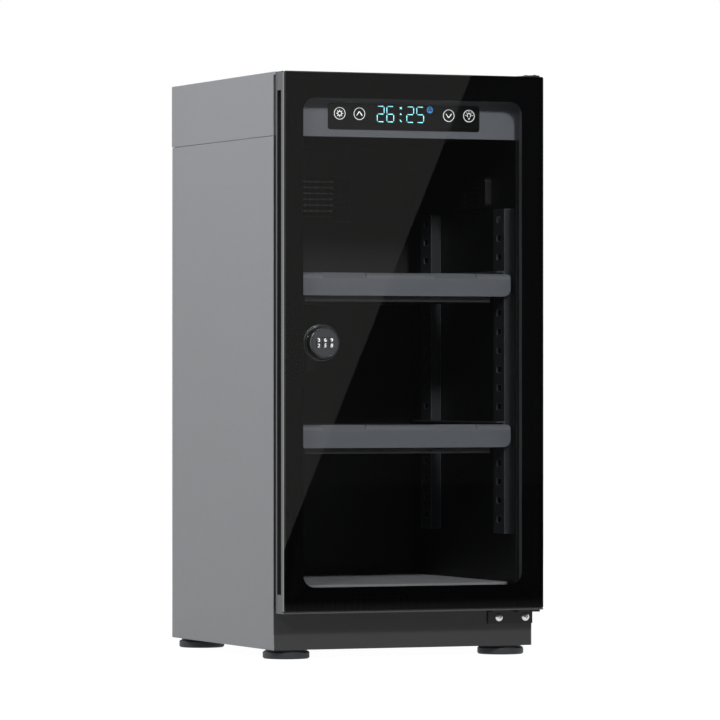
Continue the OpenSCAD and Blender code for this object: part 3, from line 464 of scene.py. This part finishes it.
# Light-emitting segments and the fan mark behind the window
LIT_CYAN = Finish("lit_cyan", "#93E6EC", 0.5, glow=1.8, **FLAT)
LIT_BLUE = Finish("lit_blue", "#3D86C6", 0.5, glow=0.8, **FLAT)


def dress(nodes: dict, finish: Finish, names: Iterable[str]) -> None:
    """Gives CAD nodes a finish.

    Args:
        nodes: The frame's nodes by name.
        finish: Finish that they get.
        names: Names of the nodes.
    """
    material = finish.material()
    for name in names:
        held = nodes[name]
        if not held.material_slots:
            held.data.materials.append(material)
        for slot in held.material_slots:
            slot.material = material


def make_piece(name: str, shape: bmesh.types.BMesh, finish: Finish, body: str,
               smooth: float | None = None) -> bpy.types.Object:
    """Turns a bmesh into a piece that rides on a CAD body.

    Args:
        name: Name of the piece.
        shape: Its shape, already in place. It is freed here.
        finish: Its finish.
        body: CAD body that carries it.
        smooth: Largest angle in degrees that is shaded smooth, or None for flat faces.

    Returns:
        The new object.
    """
    bmesh.ops.remove_doubles(shape, verts=shape.verts, dist=WELD_M)
    bmesh.ops.recalc_face_normals(shape, faces=shape.faces)
    mesh = bpy.data.meshes.new(name)
    if smooth is not None:
        for face in shape.faces:
            face.smooth = True
        for edge in shape.edges:
            edge.smooth = edge.calc_face_angle(math.pi) < math.radians(smooth)
    shape.to_mesh(mesh)
    shape.free()
    mesh.materials.append(finish.material())
    held = bpy.data.objects.new(name, mesh)
    bpy.context.scene.collection.objects.link(held)
    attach(held, body)
    LOG.info("piece %s: %d faces on %s", name, len(mesh.polygons), body)
    return held


@dataclass(frozen=True)
class Spokes:
    """Short bars set round a point: how far out they lie, their size and their angles."""

    reach: float
    length: float
    width: float
    turns: tuple[int, ...]
    lean: float = 0.0


class Marks:
    """Flat marks, drawn in the XY plane in millimetres and then laid on a surface."""

    def __init__(self) -> None:
        """Starts with no marks."""
        self.shape = bmesh.new()

    def bar(self, centre: Spot, length: float, width: float, turn: float = 0.0) -> None:
        """Adds a bar with pointed ends, as a display's segment has.

        Args:
            centre: Middle of the bar.
            length: Its length.
            width: Its width.
            turn: Its angle from the X axis in degrees.
        """
        radius = width / 2 / math.cos(math.radians(30))
        made = bmesh.ops.create_circle(self.shape, cap_ends=True, segments=6,
                                       radius=radius)["verts"]
        for vert in made:
            vert.co.x += math.copysign(length / 2 - radius, vert.co.x)
        bmesh.ops.transform(self.shape, verts=made, matrix=Matrix.Translation((*centre, 0))
                            @ Matrix.Rotation(math.radians(turn), 4, "Z"))

    def spokes(self, centre: Spot, spokes: Spokes) -> None:
        """Adds short bars round a point.

        Args:
            centre: The point.
            spokes: The bars.
        """
        for turn in spokes.turns:
            angle = math.radians(turn)
            way = Vector((math.cos(angle), math.sin(angle)))
            self.bar((centre[0] + spokes.reach * way.x, centre[1] + spokes.reach * way.y),
                     spokes.length, spokes.width, turn + spokes.lean)

    def disc(self, centre: Spot, radius: float, segments: int = 32) -> None:
        """Adds a filled disc.

        Args:
            centre: Middle of the disc.
            radius: Its radius.
            segments: Number of its sides.
        """
        bmesh.ops.create_circle(self.shape, cap_ends=True, segments=segments, radius=radius,
                                matrix=Matrix.Translation((*centre, 0)))

    def ring(self, centre: Spot, radius: float, width: float, start: float = 0.0,
             sweep: float = 360.0) -> None:
        """Adds a ring or a part of one.

        Args:
            centre: Middle of the ring.
            radius: Its outer radius.
            width: Width of its line.
            start: Angle of its start in degrees.
            sweep: How far it goes round in degrees.
        """
        axis = Vector((*centre, 0))
        turn = Matrix.Rotation(math.radians(start), 4, "Z")
        ends = [self.shape.verts.new(axis + turn @ Vector((r, 0, 0)))
                for r in (radius - width, radius)]
        edge = self.shape.edges.new(ends)
        bmesh.ops.spin(self.shape, geom=[*ends, edge], cent=axis, axis=(0, 0, 1),
                       angle=math.radians(sweep), steps=max(RING_FEWEST, round(sweep / RING_STEP)),
                       use_merge=sweep >= 360)

    def lay(self, at: Vector) -> bmesh.types.BMesh:
        """Lays the marks on a surface that faces the front, raised by a print's thickness.

        Args:
            at: Point of the surface that the drawing's origin meets.

        Returns:
            The finished shape.
        """
        bmesh.ops.recalc_face_normals(self.shape, faces=self.shape.faces)
        for face in self.shape.faces:
            if face.normal.z < 0:
                face.normal_flip()
        grown = bmesh.ops.extrude_face_region(self.shape, geom=list(self.shape.faces),
                                              use_keep_orig=True)["geom"]
        lifted = [item for item in grown if isinstance(item, bmesh.types.BMVert)]
        bmesh.ops.translate(self.shape, verts=lifted, vec=(0, 0, PRINT_MM))
        bmesh.ops.transform(self.shape, verts=self.shape.verts,
                            matrix=Matrix.Translation(at) @ FRONT @ Matrix.Scale(MM, 4))
        return self.shape


def lathe(profile: list[Spot], steps: int = 40) -> bmesh.types.BMesh:
    """Turns a half outline round the Z axis.

    Args:
        profile: Radius and height of each point in millimetres, from one end to the other.
        steps: Number of steps of the turn.

    Returns:
        The turned shape in millimetres.
    """
    shape = bmesh.new()
    verts = [shape.verts.new((radius, 0, height)) for radius, height in profile]
    edges = [shape.edges.new(pair) for pair in zip(verts, verts[1:])]
    bmesh.ops.spin(shape, geom=[*verts, *edges], cent=(0, 0, 0), axis=(0, 0, 1),
                   angle=math.tau, steps=steps, use_merge=True)
    bmesh.ops.remove_doubles(shape, verts=shape.verts, dist=WELD_MM)
    return shape


@dataclass(frozen=True)
class CrossScrew:
    """A domed screw with a cross recess, drawn along Z with its seat at zero.

    The recess reaches a share of the radius; its arms are a share of that wide, and narrow to
    a share of their length at the floor. Its depth and middle are shares of the head's height.
    """

    radius: float
    height: float
    shank: float
    length: float
    smooth: float = 40.0
    dome_steps: int = 10
    chamfer: float = 0.6
    recess: float = 0.56
    arm: float = 0.36
    floor: float = 0.35
    depth: float = 1.1
    middle: float = 0.9

    def shape(self, turn: float = 0.0) -> bmesh.types.BMesh:
        """Makes the screw.

        Args:
            turn: Angle of the recess in degrees.

        Returns:
            The screw in millimetres.
        """
        dome = (self.radius ** 2 + self.height ** 2) / (2 * self.height)
        reach = math.asin(self.radius / dome)
        angles = [reach * i / self.dome_steps for i in range(self.dome_steps + 1)]
        arc = [(dome * math.sin(angle), self.height - dome + dome * math.cos(angle))
               for angle in angles]
        screw = lathe([*arc, (self.shank, 0), (self.shank, -self.length + self.chamfer),
                       (self.shank - self.chamfer, -self.length), (0, -self.length)])
        return self._cut(screw, turn)

    def _cut(self, screw: bmesh.types.BMesh, turn: float) -> bmesh.types.BMesh:
        """Cuts the tapered cross into the head.

        Args:
            screw: The screw without its recess. It is freed here.
            turn: Angle of the recess in degrees.

        Returns:
            The screw with its recess.
        """
        wing = self.radius * self.recess
        cross = bmesh.new()
        for angle in (0, 90):
            made = bmesh.ops.create_cube(cross, size=1.0)["verts"]
            bmesh.ops.scale(cross, verts=made,
                            vec=(2 * wing, self.arm * wing, self.depth * self.height))
            for vert in made:
                if vert.co.z < 0:
                    vert.co.x *= self.floor
            bmesh.ops.transform(cross, verts=made,
                                matrix=Matrix.Translation((0, 0, self.height * self.middle))
                                @ Matrix.Rotation(math.radians(angle + turn), 4, "Z"))
        held = [bpy.data.objects.new(name, bpy.data.meshes.new(name))
                for name in ("screw", "cross")]
        for item, shape in zip(held, (screw, cross)):
            bmesh.ops.recalc_face_normals(shape, faces=shape.faces)
            shape.to_mesh(item.data)
            shape.free()
            bpy.context.scene.collection.objects.link(item)
        cut = held[0].modifiers.new("recess", "BOOLEAN")
        cut.object, cut.operation, cut.solver, cut.use_self = held[1], "DIFFERENCE", "EXACT", True
        bpy.context.view_layer.update()
        done = held[0].evaluated_get(bpy.context.evaluated_depsgraph_get())
        result = bmesh.new()
        result.from_mesh(done.data)
        for item in held:
            data = item.data
            bpy.data.objects.remove(item)
            bpy.data.meshes.remove(data)
        return result


def place_all(part: CrossScrew, places: Iterable[Matrix]) -> bmesh.types.BMesh:
    """Copies a screw to several places.

    Args:
        part: The screw.
        places: Where each copy goes, as a matrix in metres.

    Returns:
        All copies in metres.
    """
    together = bmesh.new()
    for number, place in enumerate(places):
        single = part.shape(turn=FIRST_TURN + NEXT_TURN * number)
        mesh = bpy.data.meshes.new("copy")
        bmesh.ops.transform(single, verts=single.verts, matrix=place @ Matrix.Scale(MM, 4))
        single.to_mesh(mesh)
        single.free()
        together.from_mesh(mesh)
        bpy.data.meshes.remove(mesh)
    return together


@dataclass(frozen=True)
class Lamp:
    """A square soft lamp, in metres and watts."""

    name: str
    at: Point
    aim: Point
    side: float
    power: float

    def build(self) -> None:
        """Adds the lamp to the scene."""
        data = bpy.data.lights.new(self.name, "AREA")
        data.shape, data.size, data.energy = "SQUARE", self.side, self.power
        held = bpy.data.objects.new(self.name, data)
        held.location = self.at
        way = Vector(self.aim) - Vector(self.at)
        held.rotation_euler = way.to_track_quat("-Z", "Y").to_euler()
        bpy.context.scene.collection.objects.link(held)


@dataclass(frozen=True)
class Card:
    """A lit card that only shows in reflections."""

    name: str
    corners: tuple[Point, ...]
    glow: float
    colour: str = "#F4F4F0"


@dataclass
class Studio:
    """Camera, lamps, floor and surroundings.

    The sky's mirrored level follows a direction's Y, the floor's follows Y in metres, and the
    floor's level to the eye follows the distance from the cabinet.
    """

    eye: Point = (-2.2578, -5.46405, 0.3110)
    sight: Point = (0.38331551, 0.92360858, 0.0040509)
    lens: float = 256.27
    sensor: float = 36.0
    farthest: float = 60.0
    ambient: float = 0.04
    sky_mirrored: Ramp = Ramp(-0.75, 0.1, 0.06, 1.0)
    floor_mirrored: Ramp = Ramp(-1.6, -0.6, 0.03, 0.9)
    floor_seen: Ramp = Ramp(0.5, 1.0, 1.4, 1.45)
    floor_glow_share: float = 0.7
    floor_tone: str = "#A4A4A4"
    floor_reach: float = 9.0
    lamps: tuple[Lamp, ...] = (
        Lamp("key_lamp", (-0.036, -1.70, 1.19), (0, -0.17, 0.35), 0.16, 21.0),
        Lamp("fill_lamp", (-1.9, -2.5, 1.55), (0, -0.1, 0.35), 0.4, 17.5),
        Lamp("side_lamp", (-1.5, 0.0, 1.75), (-0.16, -0.02, 0.7), 0.36, 23.0),
        Lamp("back_lamp", (2.2, 2.0, 1.5), (0.1, 0.1, 0.3), 1.2, 90.0))
    cards: tuple[Card, ...] = (
        Card("reflection_card", ((0.7162, -2.6, -0.1659), (1.2204, -2.6, 1.0167),
                                 (0.7504, -2.6, 1.0167), (0.2462, -2.6, -0.1659)), 0.58),
        Card("top_card", ((-0.8, -0.75, 2.2), (0.0, -0.75, 2.2),
                          (0.0, -0.25, 2.2), (-0.8, -0.25, 2.2)), 38.0))

    def build(self) -> None:
        """Builds everything that isn't part of the cabinet."""
        scene = bpy.context.scene
        scene.view_settings.view_transform = "Standard"
        self._camera(scene)
        self._world(scene)
        for lamp in self.lamps:
            lamp.build()
        self._floor()
        for card in self.cards:
            self._card(card)

    def _camera(self, scene: bpy.types.Scene) -> None:
        """Sets the camera that the cabinet was photographed with.

        Args:
            scene: Scene that gets the camera.
        """
        data = bpy.data.cameras.new("camera")
        data.sensor_width, data.lens, data.clip_end = self.sensor, self.lens, self.farthest
        held = bpy.data.objects.new("camera", data)
        held.location = self.eye
        held.rotation_euler = Vector(self.sight).to_track_quat("-Z", "Y").to_euler()
        scene.collection.objects.link(held)
        scene.camera = held

    def _world(self, scene: bpy.types.Scene) -> None:
        """Makes the surroundings: white to the eye, pale behind the cabinet and dark in front.

        Args:
            scene: Scene that gets the world.
        """
        world = bpy.data.worlds.new("studio")
        scene.world = world
        world.use_nodes = True
        tree = world.node_tree
        tree.nodes.clear()
        rays = add(tree, "ShaderNodeLightPath").outputs
        way = add(tree, "ShaderNodeSeparateXYZ", {}, {
            "Vector": add(tree, "ShaderNodeTexCoord").outputs["Generated"]}).outputs["Y"]
        lit = blend(tree, rays["Is Glossy Ray"], self.ambient, self.sky_mirrored.wire(tree, way))
        seen = calc(tree, "MAXIMUM", rays["Is Camera Ray"], rays["Is Transmission Ray"])
        level = blend(tree, seen, lit, 1.0)
        glow = add(tree, "ShaderNodeBackground", {"Color": (1, 1, 1, 1)}, {"Strength": level})
        add(tree, "ShaderNodeOutputWorld", {}, {"Surface": glow.outputs["Background"]})

    def _stage(self, name: str, shape: bmesh.types.BMesh,
               material: bpy.types.Material) -> bpy.types.Object:
        """Adds a piece of the stage.

        Args:
            name: Name of the piece.
            shape: Its shape. It is freed here.
            material: Its material.

        Returns:
            The new object.
        """
        mesh = bpy.data.meshes.new(name)
        shape.to_mesh(mesh)
        shape.free()
        mesh.materials.append(material)
        held = bpy.data.objects.new(name, mesh)
        bpy.context.scene.collection.objects.link(held)
        return held

    def _floor(self) -> None:
        """Adds the floor: white to the eye with a soft shadow, dark in mirrors far in front."""
        material = blank("floor")
        tree = material.node_tree
        rays = add(tree, "ShaderNodeLightPath").outputs
        place = add(tree, "ShaderNodeTexCoord").outputs["Object"]
        far = add(tree, "ShaderNodeVectorMath", {"operation": "LENGTH"},
                  {0: place}).outputs["Value"]
        ahead = add(tree, "ShaderNodeSeparateXYZ", {}, {"Vector": place}).outputs["Y"]
        level = blend(tree, rays["Is Camera Ray"], self.floor_mirrored.wire(tree, ahead),
                      self.floor_seen.wire(tree, far))
        matt = add(tree, "ShaderNodeBsdfDiffuse", {"Color": linear(self.floor_tone)})
        glow = add(tree, "ShaderNodeEmission", {"Color": (1, 1, 1, 1)}, {"Strength": level})
        seen = calc(tree, "MULTIPLY", rays["Is Camera Ray"], self.floor_glow_share)
        share = calc(tree, "MAXIMUM", seen, rays["Is Glossy Ray"])
        both = add(tree, "ShaderNodeMixShader", {},
                   {0: share, 1: matt.outputs[0], 2: glow.outputs[0]})
        add(tree, "ShaderNodeOutputMaterial", {}, {"Surface": both.outputs[0]})
        shape = bmesh.new()
        bmesh.ops.create_grid(shape, x_segments=2, y_segments=2, size=self.floor_reach)
        self._stage("floor", shape, material)

    def _card(self, card: Card) -> None:
        """Adds a lit card.

        Args:
            card: The card.
        """
        material = blank(card.name)
        tree = material.node_tree
        glow = add(tree, "ShaderNodeEmission", {"Color": linear(card.colour),
                                                "Strength": card.glow})
        add(tree, "ShaderNodeOutputMaterial", {}, {"Surface": glow.outputs[0]})
        shape = bmesh.new()
        shape.faces.new([shape.verts.new(corner) for corner in card.corners])
        held = self._stage(card.name, shape, material)
        held.visible_camera = held.visible_diffuse = held.visible_shadow = False
        held.visible_transmission = False


@dataclass
class Body:
    """Steel shell, plinth, feet and what is on the back."""

    nodes: dict
    back_screw: CrossScrew = CrossScrew(3.4, 2.0, 1.6, 4.0)
    back_inset_x: float = 7.0
    back_inset_z: float = 8.0
    cover_screw: CrossScrew = CrossScrew(2.8, 1.7, 1.4, 3.0)
    cover_inset: float = 7.0

    def build(self) -> None:
        """Dresses the shell and adds the screws of the back."""
        dress(self.nodes, POWDER_GREY, ["left_side_panel", "right_side_panel", "base_pan",
                                        "top_housing", "rear_panel"])
        dress(self.nodes, POWDER_BLACK, ["plinth_panel", "front_frame"])
        dress(self.nodes, RUBBER, ["feet"])
        dress(self.nodes, ZINC, ["foot_screws"])
        dress(self.nodes, ABS_BLACK, ["rear_vent_cover", "power_inlet"])
        self._back_screws()

    def _back_screws(self) -> None:
        """Adds the screws that hold the back sheet and the rear cover."""
        low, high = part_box("rear_panel")
        side, end = self.back_inset_x * MM, self.back_inset_z * MM
        across = (low.x + side, 0.0, high.x - side)
        up = (low.z + end, (low.z + high.z) / 2, high.z - end)
        self._screws("back_screws", self.back_screw, [
            Vector((x, high.y, z)) for x in across for z in up if (x, z) != (0.0, up[1])])
        low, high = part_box("rear_vent_cover")
        inset = self.cover_inset * MM
        self._screws("cover_screws", self.cover_screw, [
            Vector((x, high.y, z)) for x in (low.x + inset, high.x - inset)
            for z in (low.z + inset, high.z - inset)])

    def _screws(self, name: str, screw: CrossScrew, seats: list[Vector]) -> None:
        """Adds screws that face the back.

        Args:
            name: Name of the piece.
            screw: The screw.
            seats: Where each head sits.
        """
        places = [Matrix.Translation(seat) @ BACK for seat in seats]
        make_piece(name, place_all(screw, places), ZINC, "cabinet", screw.smooth)


@dataclass
class StorageBay:
    """Lining, uprights, shelves, mats and the dryer."""

    nodes: dict

    def build(self) -> None:
        """Dresses the bay."""
        dress(self.nodes, LINING_BLACK, ["inner_left_panel", "inner_right_panel",
                                         "inner_back_panel", "inner_floor_panel",
                                         "inner_ceiling_panel"])
        dress(self.nodes, RAIL_BLACK, ["left_uprights", "right_uprights", "lower_shelf_runners",
                                       "upper_shelf_runners"])
        dress(self.nodes, POWDER_BLACK, ["lower_shelf_tray", "upper_shelf_tray"])
        dress(self.nodes, ABS_GREY, ["lower_shelf_front", "upper_shelf_front"])
        dress(self.nodes, FOAM_BLACK, ["lower_shelf_mat", "upper_shelf_mat"])
        dress(self.nodes, FOAM_GREY, ["floor_mat"])
        dress(self.nodes, LINING_BLACK, ["humidity_sensor", "inner_vent_cover"])
        dress(self.nodes, MILL_ALUMINIUM, ["cold_plate", "heat_sink"])
        dress(self.nodes, ALUMINA, ["thermoelectric_module"])
        dress(self.nodes, OPAL, ["lamp_strip"])
        dress(self.nodes, SOLDER_MASK, ["control_board"])
        dress(self.nodes, ZINC, ["power_module"])


@dataclass(frozen=True)
class Sign:
    """A small mark made of parts that are placed from its middle.

    A ring has its radius, line, start and sweep, a bar its x, z, length, width and angle.
    """

    rings: tuple[tuple[float, ...], ...] = ()
    bars: tuple[tuple[float, ...], ...] = ()
    spokes: tuple[Spokes, ...] = ()
    rise: float = 0.0

    def draw(self, marks: Marks, centre: Spot) -> None:
        """Draws the mark.

        Args:
            marks: Drawing that it goes into.
            centre: Place of its middle, before the rise.
        """
        x, z = centre[0], centre[1] + self.rise
        for ring in self.rings:
            marks.ring((x, z), *ring)
        for dx, dz, length, width, turn in self.bars:
            marks.bar((x + dx, z + dz), length, width, turn)
        for spokes in self.spokes:
            marks.spokes((x, z), spokes)


COG = Sign(rings=((2.7, 0.9, 0, 360),), spokes=(Spokes(3.4, 1.7, 1.0, tuple(range(0, 360, 45))),))
UP = Sign(bars=((-1.75, 0.2, 5.9, 1.15, 54), (1.75, 0.2, 5.9, 1.15, -54)))
DOWN = Sign(bars=((-1.75, -0.2, 5.9, 1.15, -54), (1.75, -0.2, 5.9, 1.15, 54)))
BULB = Sign(rings=((2.6, 0.8, -55, 290),), bars=((0, -3.3, 2.6, 0.8, 0), (0, -4.6, 1.7, 0.7, 0)),
            spokes=(Spokes(4.0, 1.4, 0.7, tuple(range(0, 181, 45))),), rise=0.7)
STAR = Sign(bars=((0, 7.2, 3.6, 0.9, 45), (0, 7.2, 3.6, 0.9, -45)))
SLASH = Sign(bars=((0, -7.2, 3.4, 1.2, -50),))
# Segments that are lit for each number that is shown
SEGMENTS = {"2": "abged", "5": "afgcd", "6": "afgecd"}


@dataclass
class ControlPanel:
    """Fascia and display with its lit numbers and touch marks. Places are in millimetres."""

    nodes: dict
    digit_places: tuple[float, ...] = (-28.7, -17.0, 7.4, 19.6)
    digits: str = "2625"
    digit_w: float = 9.4
    digit_h: float = 18.4
    digit_z: float = 610.8
    segment_w: float = 1.05
    flat_gap: float = 2.6
    tall_gap: float = 2.2
    middle_shift: float = 0.5
    dot_rise: float = 0.2
    dot_r: float = 1.5
    touch_places: tuple[float, ...] = (-78.5, -54.6, 54.7, 79.6)
    touch_z: float = 610.6
    touch_r: float = 6.95
    touch_line: float = 0.7
    fan_place: Spot = (31.5, 616.6)
    fan_r: float = 3.9
    fan_blades: Spokes = Spokes(1.6, 2.5, 1.2, (90, 210, 330), 18)

    def build(self) -> None:
        """Dresses the fascia and adds the display's marks."""
        dress(self.nodes, ABS_GREY, ["control_fascia"])
        dress(self.nodes, ACRYLIC_BLACK, ["display_module"])
        self.face = Vector((0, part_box("display_module")[0].y, 0))
        self._numbers()
        self._touch_marks()
        self._fan_mark()

    def _numbers(self) -> None:
        """Adds the seven-segment numbers and the small marks between them."""
        marks = Marks()
        half_w = self.digit_w / 2 - self.segment_w / 2
        half_h = self.digit_h / 2 - self.segment_w / 2
        flat, tall = self.digit_w - self.flat_gap, self.digit_h / 2 - self.tall_gap
        segments = {"a": ((0, half_h), flat, 0), "g": ((0, 0), flat, 0),
                    "d": ((0, -half_h), flat, 0),
                    "b": ((half_w, half_h / 2), tall, 90), "f": ((-half_w, half_h / 2), tall, 90),
                    "c": ((half_w, -half_h / 2), tall, 90),
                    "e": ((-half_w, -half_h / 2), tall, 90)}
        for x, digit in zip(self.digit_places, self.digits):
            for key in SEGMENTS[digit]:
                (dx, dz), length, turn = segments[key]
                marks.bar((x + dx, self.digit_z + dz), length, self.segment_w, turn)
        middle = sum(self.digit_places[1:3]) / 2 + self.middle_shift
        STAR.draw(marks, (middle, self.digit_z))
        marks.disc((middle, self.digit_z + self.dot_rise), self.dot_r, 3)
        SLASH.draw(marks, (middle, self.digit_z))
        make_piece("display_numbers", marks.lay(self.face), LIT_CYAN, "cabinet")

    def _touch_marks(self) -> None:
        """Adds the four touch marks: a cog, up, down and a lamp."""
        marks = Marks()
        for x in self.touch_places:
            marks.ring((x, self.touch_z), self.touch_r, self.touch_line)
        for x, sign in zip(self.touch_places, (COG, UP, DOWN, BULB)):
            sign.draw(marks, (x, self.touch_z))
        make_piece("touch_marks", marks.lay(self.face), LIT_WHITE, "cabinet")

    def _fan_mark(self) -> None:
        """Adds the round blue mark of the running fan."""
        ground = Marks()
        ground.disc(self.fan_place, self.fan_r)
        make_piece("fan_light", ground.lay(self.face), LIT_BLUE, "cabinet")
        blades = Marks()
        blades.spokes(self.fan_place, self.fan_blades)
        make_piece("fan_blades", blades.lay(self.face - Vector((0, PRINT_MM * MM, 0))),
                   ACRYLIC_BLACK, "cabinet")


@dataclass
class Door:
    """Glass door with its profiles, inner frame and gasket."""

    nodes: dict

    def build(self) -> None:
        """Dresses the door."""
        dress(self.nodes, TEMPERED_GLASS, ["door_glass"])
        dress(self.nodes, INK_BLACK, ["glass_border"])
        dress(self.nodes, ANODISED, ["handle_profile", "handle_end_caps", "hinge_side_profile",
                                     "top_rail", "bottom_rail"])
        dress(self.nodes, ABS_DARK, ["door_inner_frame"])
        dress(self.nodes, ABS_BLACK, ["hinge_bushes"])
        dress(self.nodes, PVC_GREY, ["door_gasket"])


@dataclass
class CombinationLock:
    """Lock with three number wheels.

    Text is one unit in size while it is made. A number counts as no narrower than narrowest,
    so that the 1 isn't stretched, and the squash turns the text's depth into a print's.
    """

    nodes: dict
    numbers_h: float = 4.3
    numbers_w: float = 2.9
    narrowest: float = 0.45
    lift: float = 0.03
    count: int = 10
    wheel_shift: int = 3
    text_depth: float = 0.01
    text_squash: float = 0.006
    text_curve_steps: int = 3

    def build(self) -> None:
        """Dresses the lock and prints the numbers on its wheels."""
        dress(self.nodes, LACQUER_BLACK, ["lock_bezel"])
        dress(self.nodes, LACQUER_SATIN, ["lock_knob", "number_wheel_1", "number_wheel_2",
                                          "number_wheel_3"])
        dress(self.nodes, ZINC, ["lock_nut", "wheel_axle", "lock_spindle"])
        dress(self.nodes, BLACK_ZINC, ["lock_cam"])
        for index in (1, 2, 3):
            self._numbers(index)

    def _numbers(self, index: int) -> None:
        """Prints the ten numbers round one wheel, two of them as far from its front's middle.

        Args:
            index: Number of the wheel, from the left.
        """
        low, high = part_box(f"number_wheel_{index}")
        middle, radius = (low + high) / 2, (high.z - low.z) / 2 + self.lift * MM
        together = bmesh.new()
        for step in range(self.count):
            digit = self._digit(str((step + self.wheel_shift * index) % self.count))
            angle = (step + 0.5) * 360 / self.count
            for vert in digit.verts:
                turn = math.radians(angle) + vert.co.y / radius
                reach = radius + vert.co.z
                vert.co = (middle.x + vert.co.x, middle.y - reach * math.cos(turn),
                           middle.z + reach * math.sin(turn))
            mesh = bpy.data.meshes.new("digit")
            digit.to_mesh(mesh)
            digit.free()
            together.from_mesh(mesh)
            bpy.data.meshes.remove(mesh)
        make_piece(f"wheel_numbers_{index}", together, GLOWING_WHITE_INK, f"wheel_{index}")

    def _digit(self, text: str) -> bmesh.types.BMesh:
        """Makes one plain number, upright in the XY plane and centred on the origin.

        Args:
            text: The number.

        Returns:
            The number in metres.
        """
        curve = bpy.data.curves.new("digit", "FONT")
        curve.body, curve.size, curve.extrude = text, 1.0, self.text_depth
        curve.resolution_u = self.text_curve_steps
        held = bpy.data.objects.new("digit", curve)
        bpy.context.scene.collection.objects.link(held)
        bpy.context.view_layer.update()
        done = held.evaluated_get(bpy.context.evaluated_depsgraph_get())
        mesh = bpy.data.meshes.new_from_object(done)
        shape = bmesh.new()
        shape.from_mesh(mesh)
        bpy.data.objects.remove(held)
        bpy.data.curves.remove(curve)
        bpy.data.meshes.remove(mesh)
        xs, ys = [v.co.x for v in shape.verts], [v.co.y for v in shape.verts]
        bmesh.ops.translate(shape, verts=shape.verts,
                            vec=(-(min(xs) + max(xs)) / 2, -(min(ys) + max(ys)) / 2, 0))
        width = self.numbers_w / max(max(xs) - min(xs), self.narrowest) * MM
        height = self.numbers_h / (max(ys) - min(ys)) * MM
        bmesh.ops.scale(shape, verts=shape.verts, vec=(width, height, self.text_squash))
        return shape


@dataclass
class Hinges:
    """Brackets, pins and the screws that hold them."""

    nodes: dict
    plate_screw: CrossScrew = CrossScrew(5.0, 3.3, 2.5, 7.9, smooth=35.0)
    plate_insets: tuple[float, ...] = (8.6, 41.3)
    roof_screw: CrossScrew = CrossScrew(3.4, 2.2, 2.0, 8.0, smooth=35.0)
    roof_insets: tuple[float, ...] = (8.8, 28.8)
    roof_inset_x: float = 5.0

    def build(self) -> None:
        """Dresses the hinges and puts in screws with a cross recess."""
        dress(self.nodes, ELECTROCOAT, ["lower_hinge_bracket", "upper_hinge_bracket"])
        dress(self.nodes, BLACK_ZINC, ["hinge_pins"])
        dress(self.nodes, NICKEL, ["hinge_screws"])
        low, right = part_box("hinge_screws")[0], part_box("lower_hinge_bracket")[1].x
        seat, middle = low.y + self.plate_screw.height * MM, low.z + self.plate_screw.radius * MM
        plate = [Matrix.Translation((right - inset * MM, seat, middle)) @ FRONT
                 for inset in self.plate_insets]
        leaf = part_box("upper_hinge_bracket")[1]
        roof = [Matrix.Translation((leaf.x - self.roof_inset_x * MM, leaf.y - inset * MM, leaf.z))
                for inset in self.roof_insets]
        for name, screw, places, finish, slot in (
                ("plate_screws", self.plate_screw, plate, NICKEL, "bright_steel"),
                ("roof_screws", self.roof_screw, roof, BLACK_ZINC, "black_steel")):
            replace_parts(make_piece(name, place_all(screw, places), finish, "cabinet",
                                   screw.smooth), "hinge_screws")


def main() -> None:
    """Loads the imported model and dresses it."""
    logging.basicConfig(level=logging.INFO, format="%(name)s: %(message)s")
    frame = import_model()
    nodes = frame["nodes"]
    Studio().build()
    for part in (Body(nodes), StorageBay(nodes), ControlPanel(nodes), Door(nodes),
                 CombinationLock(nodes), Hinges(nodes)):
        LOG.info("building %s", type(part).__name__)
        part.build()


if __name__ == "__main__":
    main()
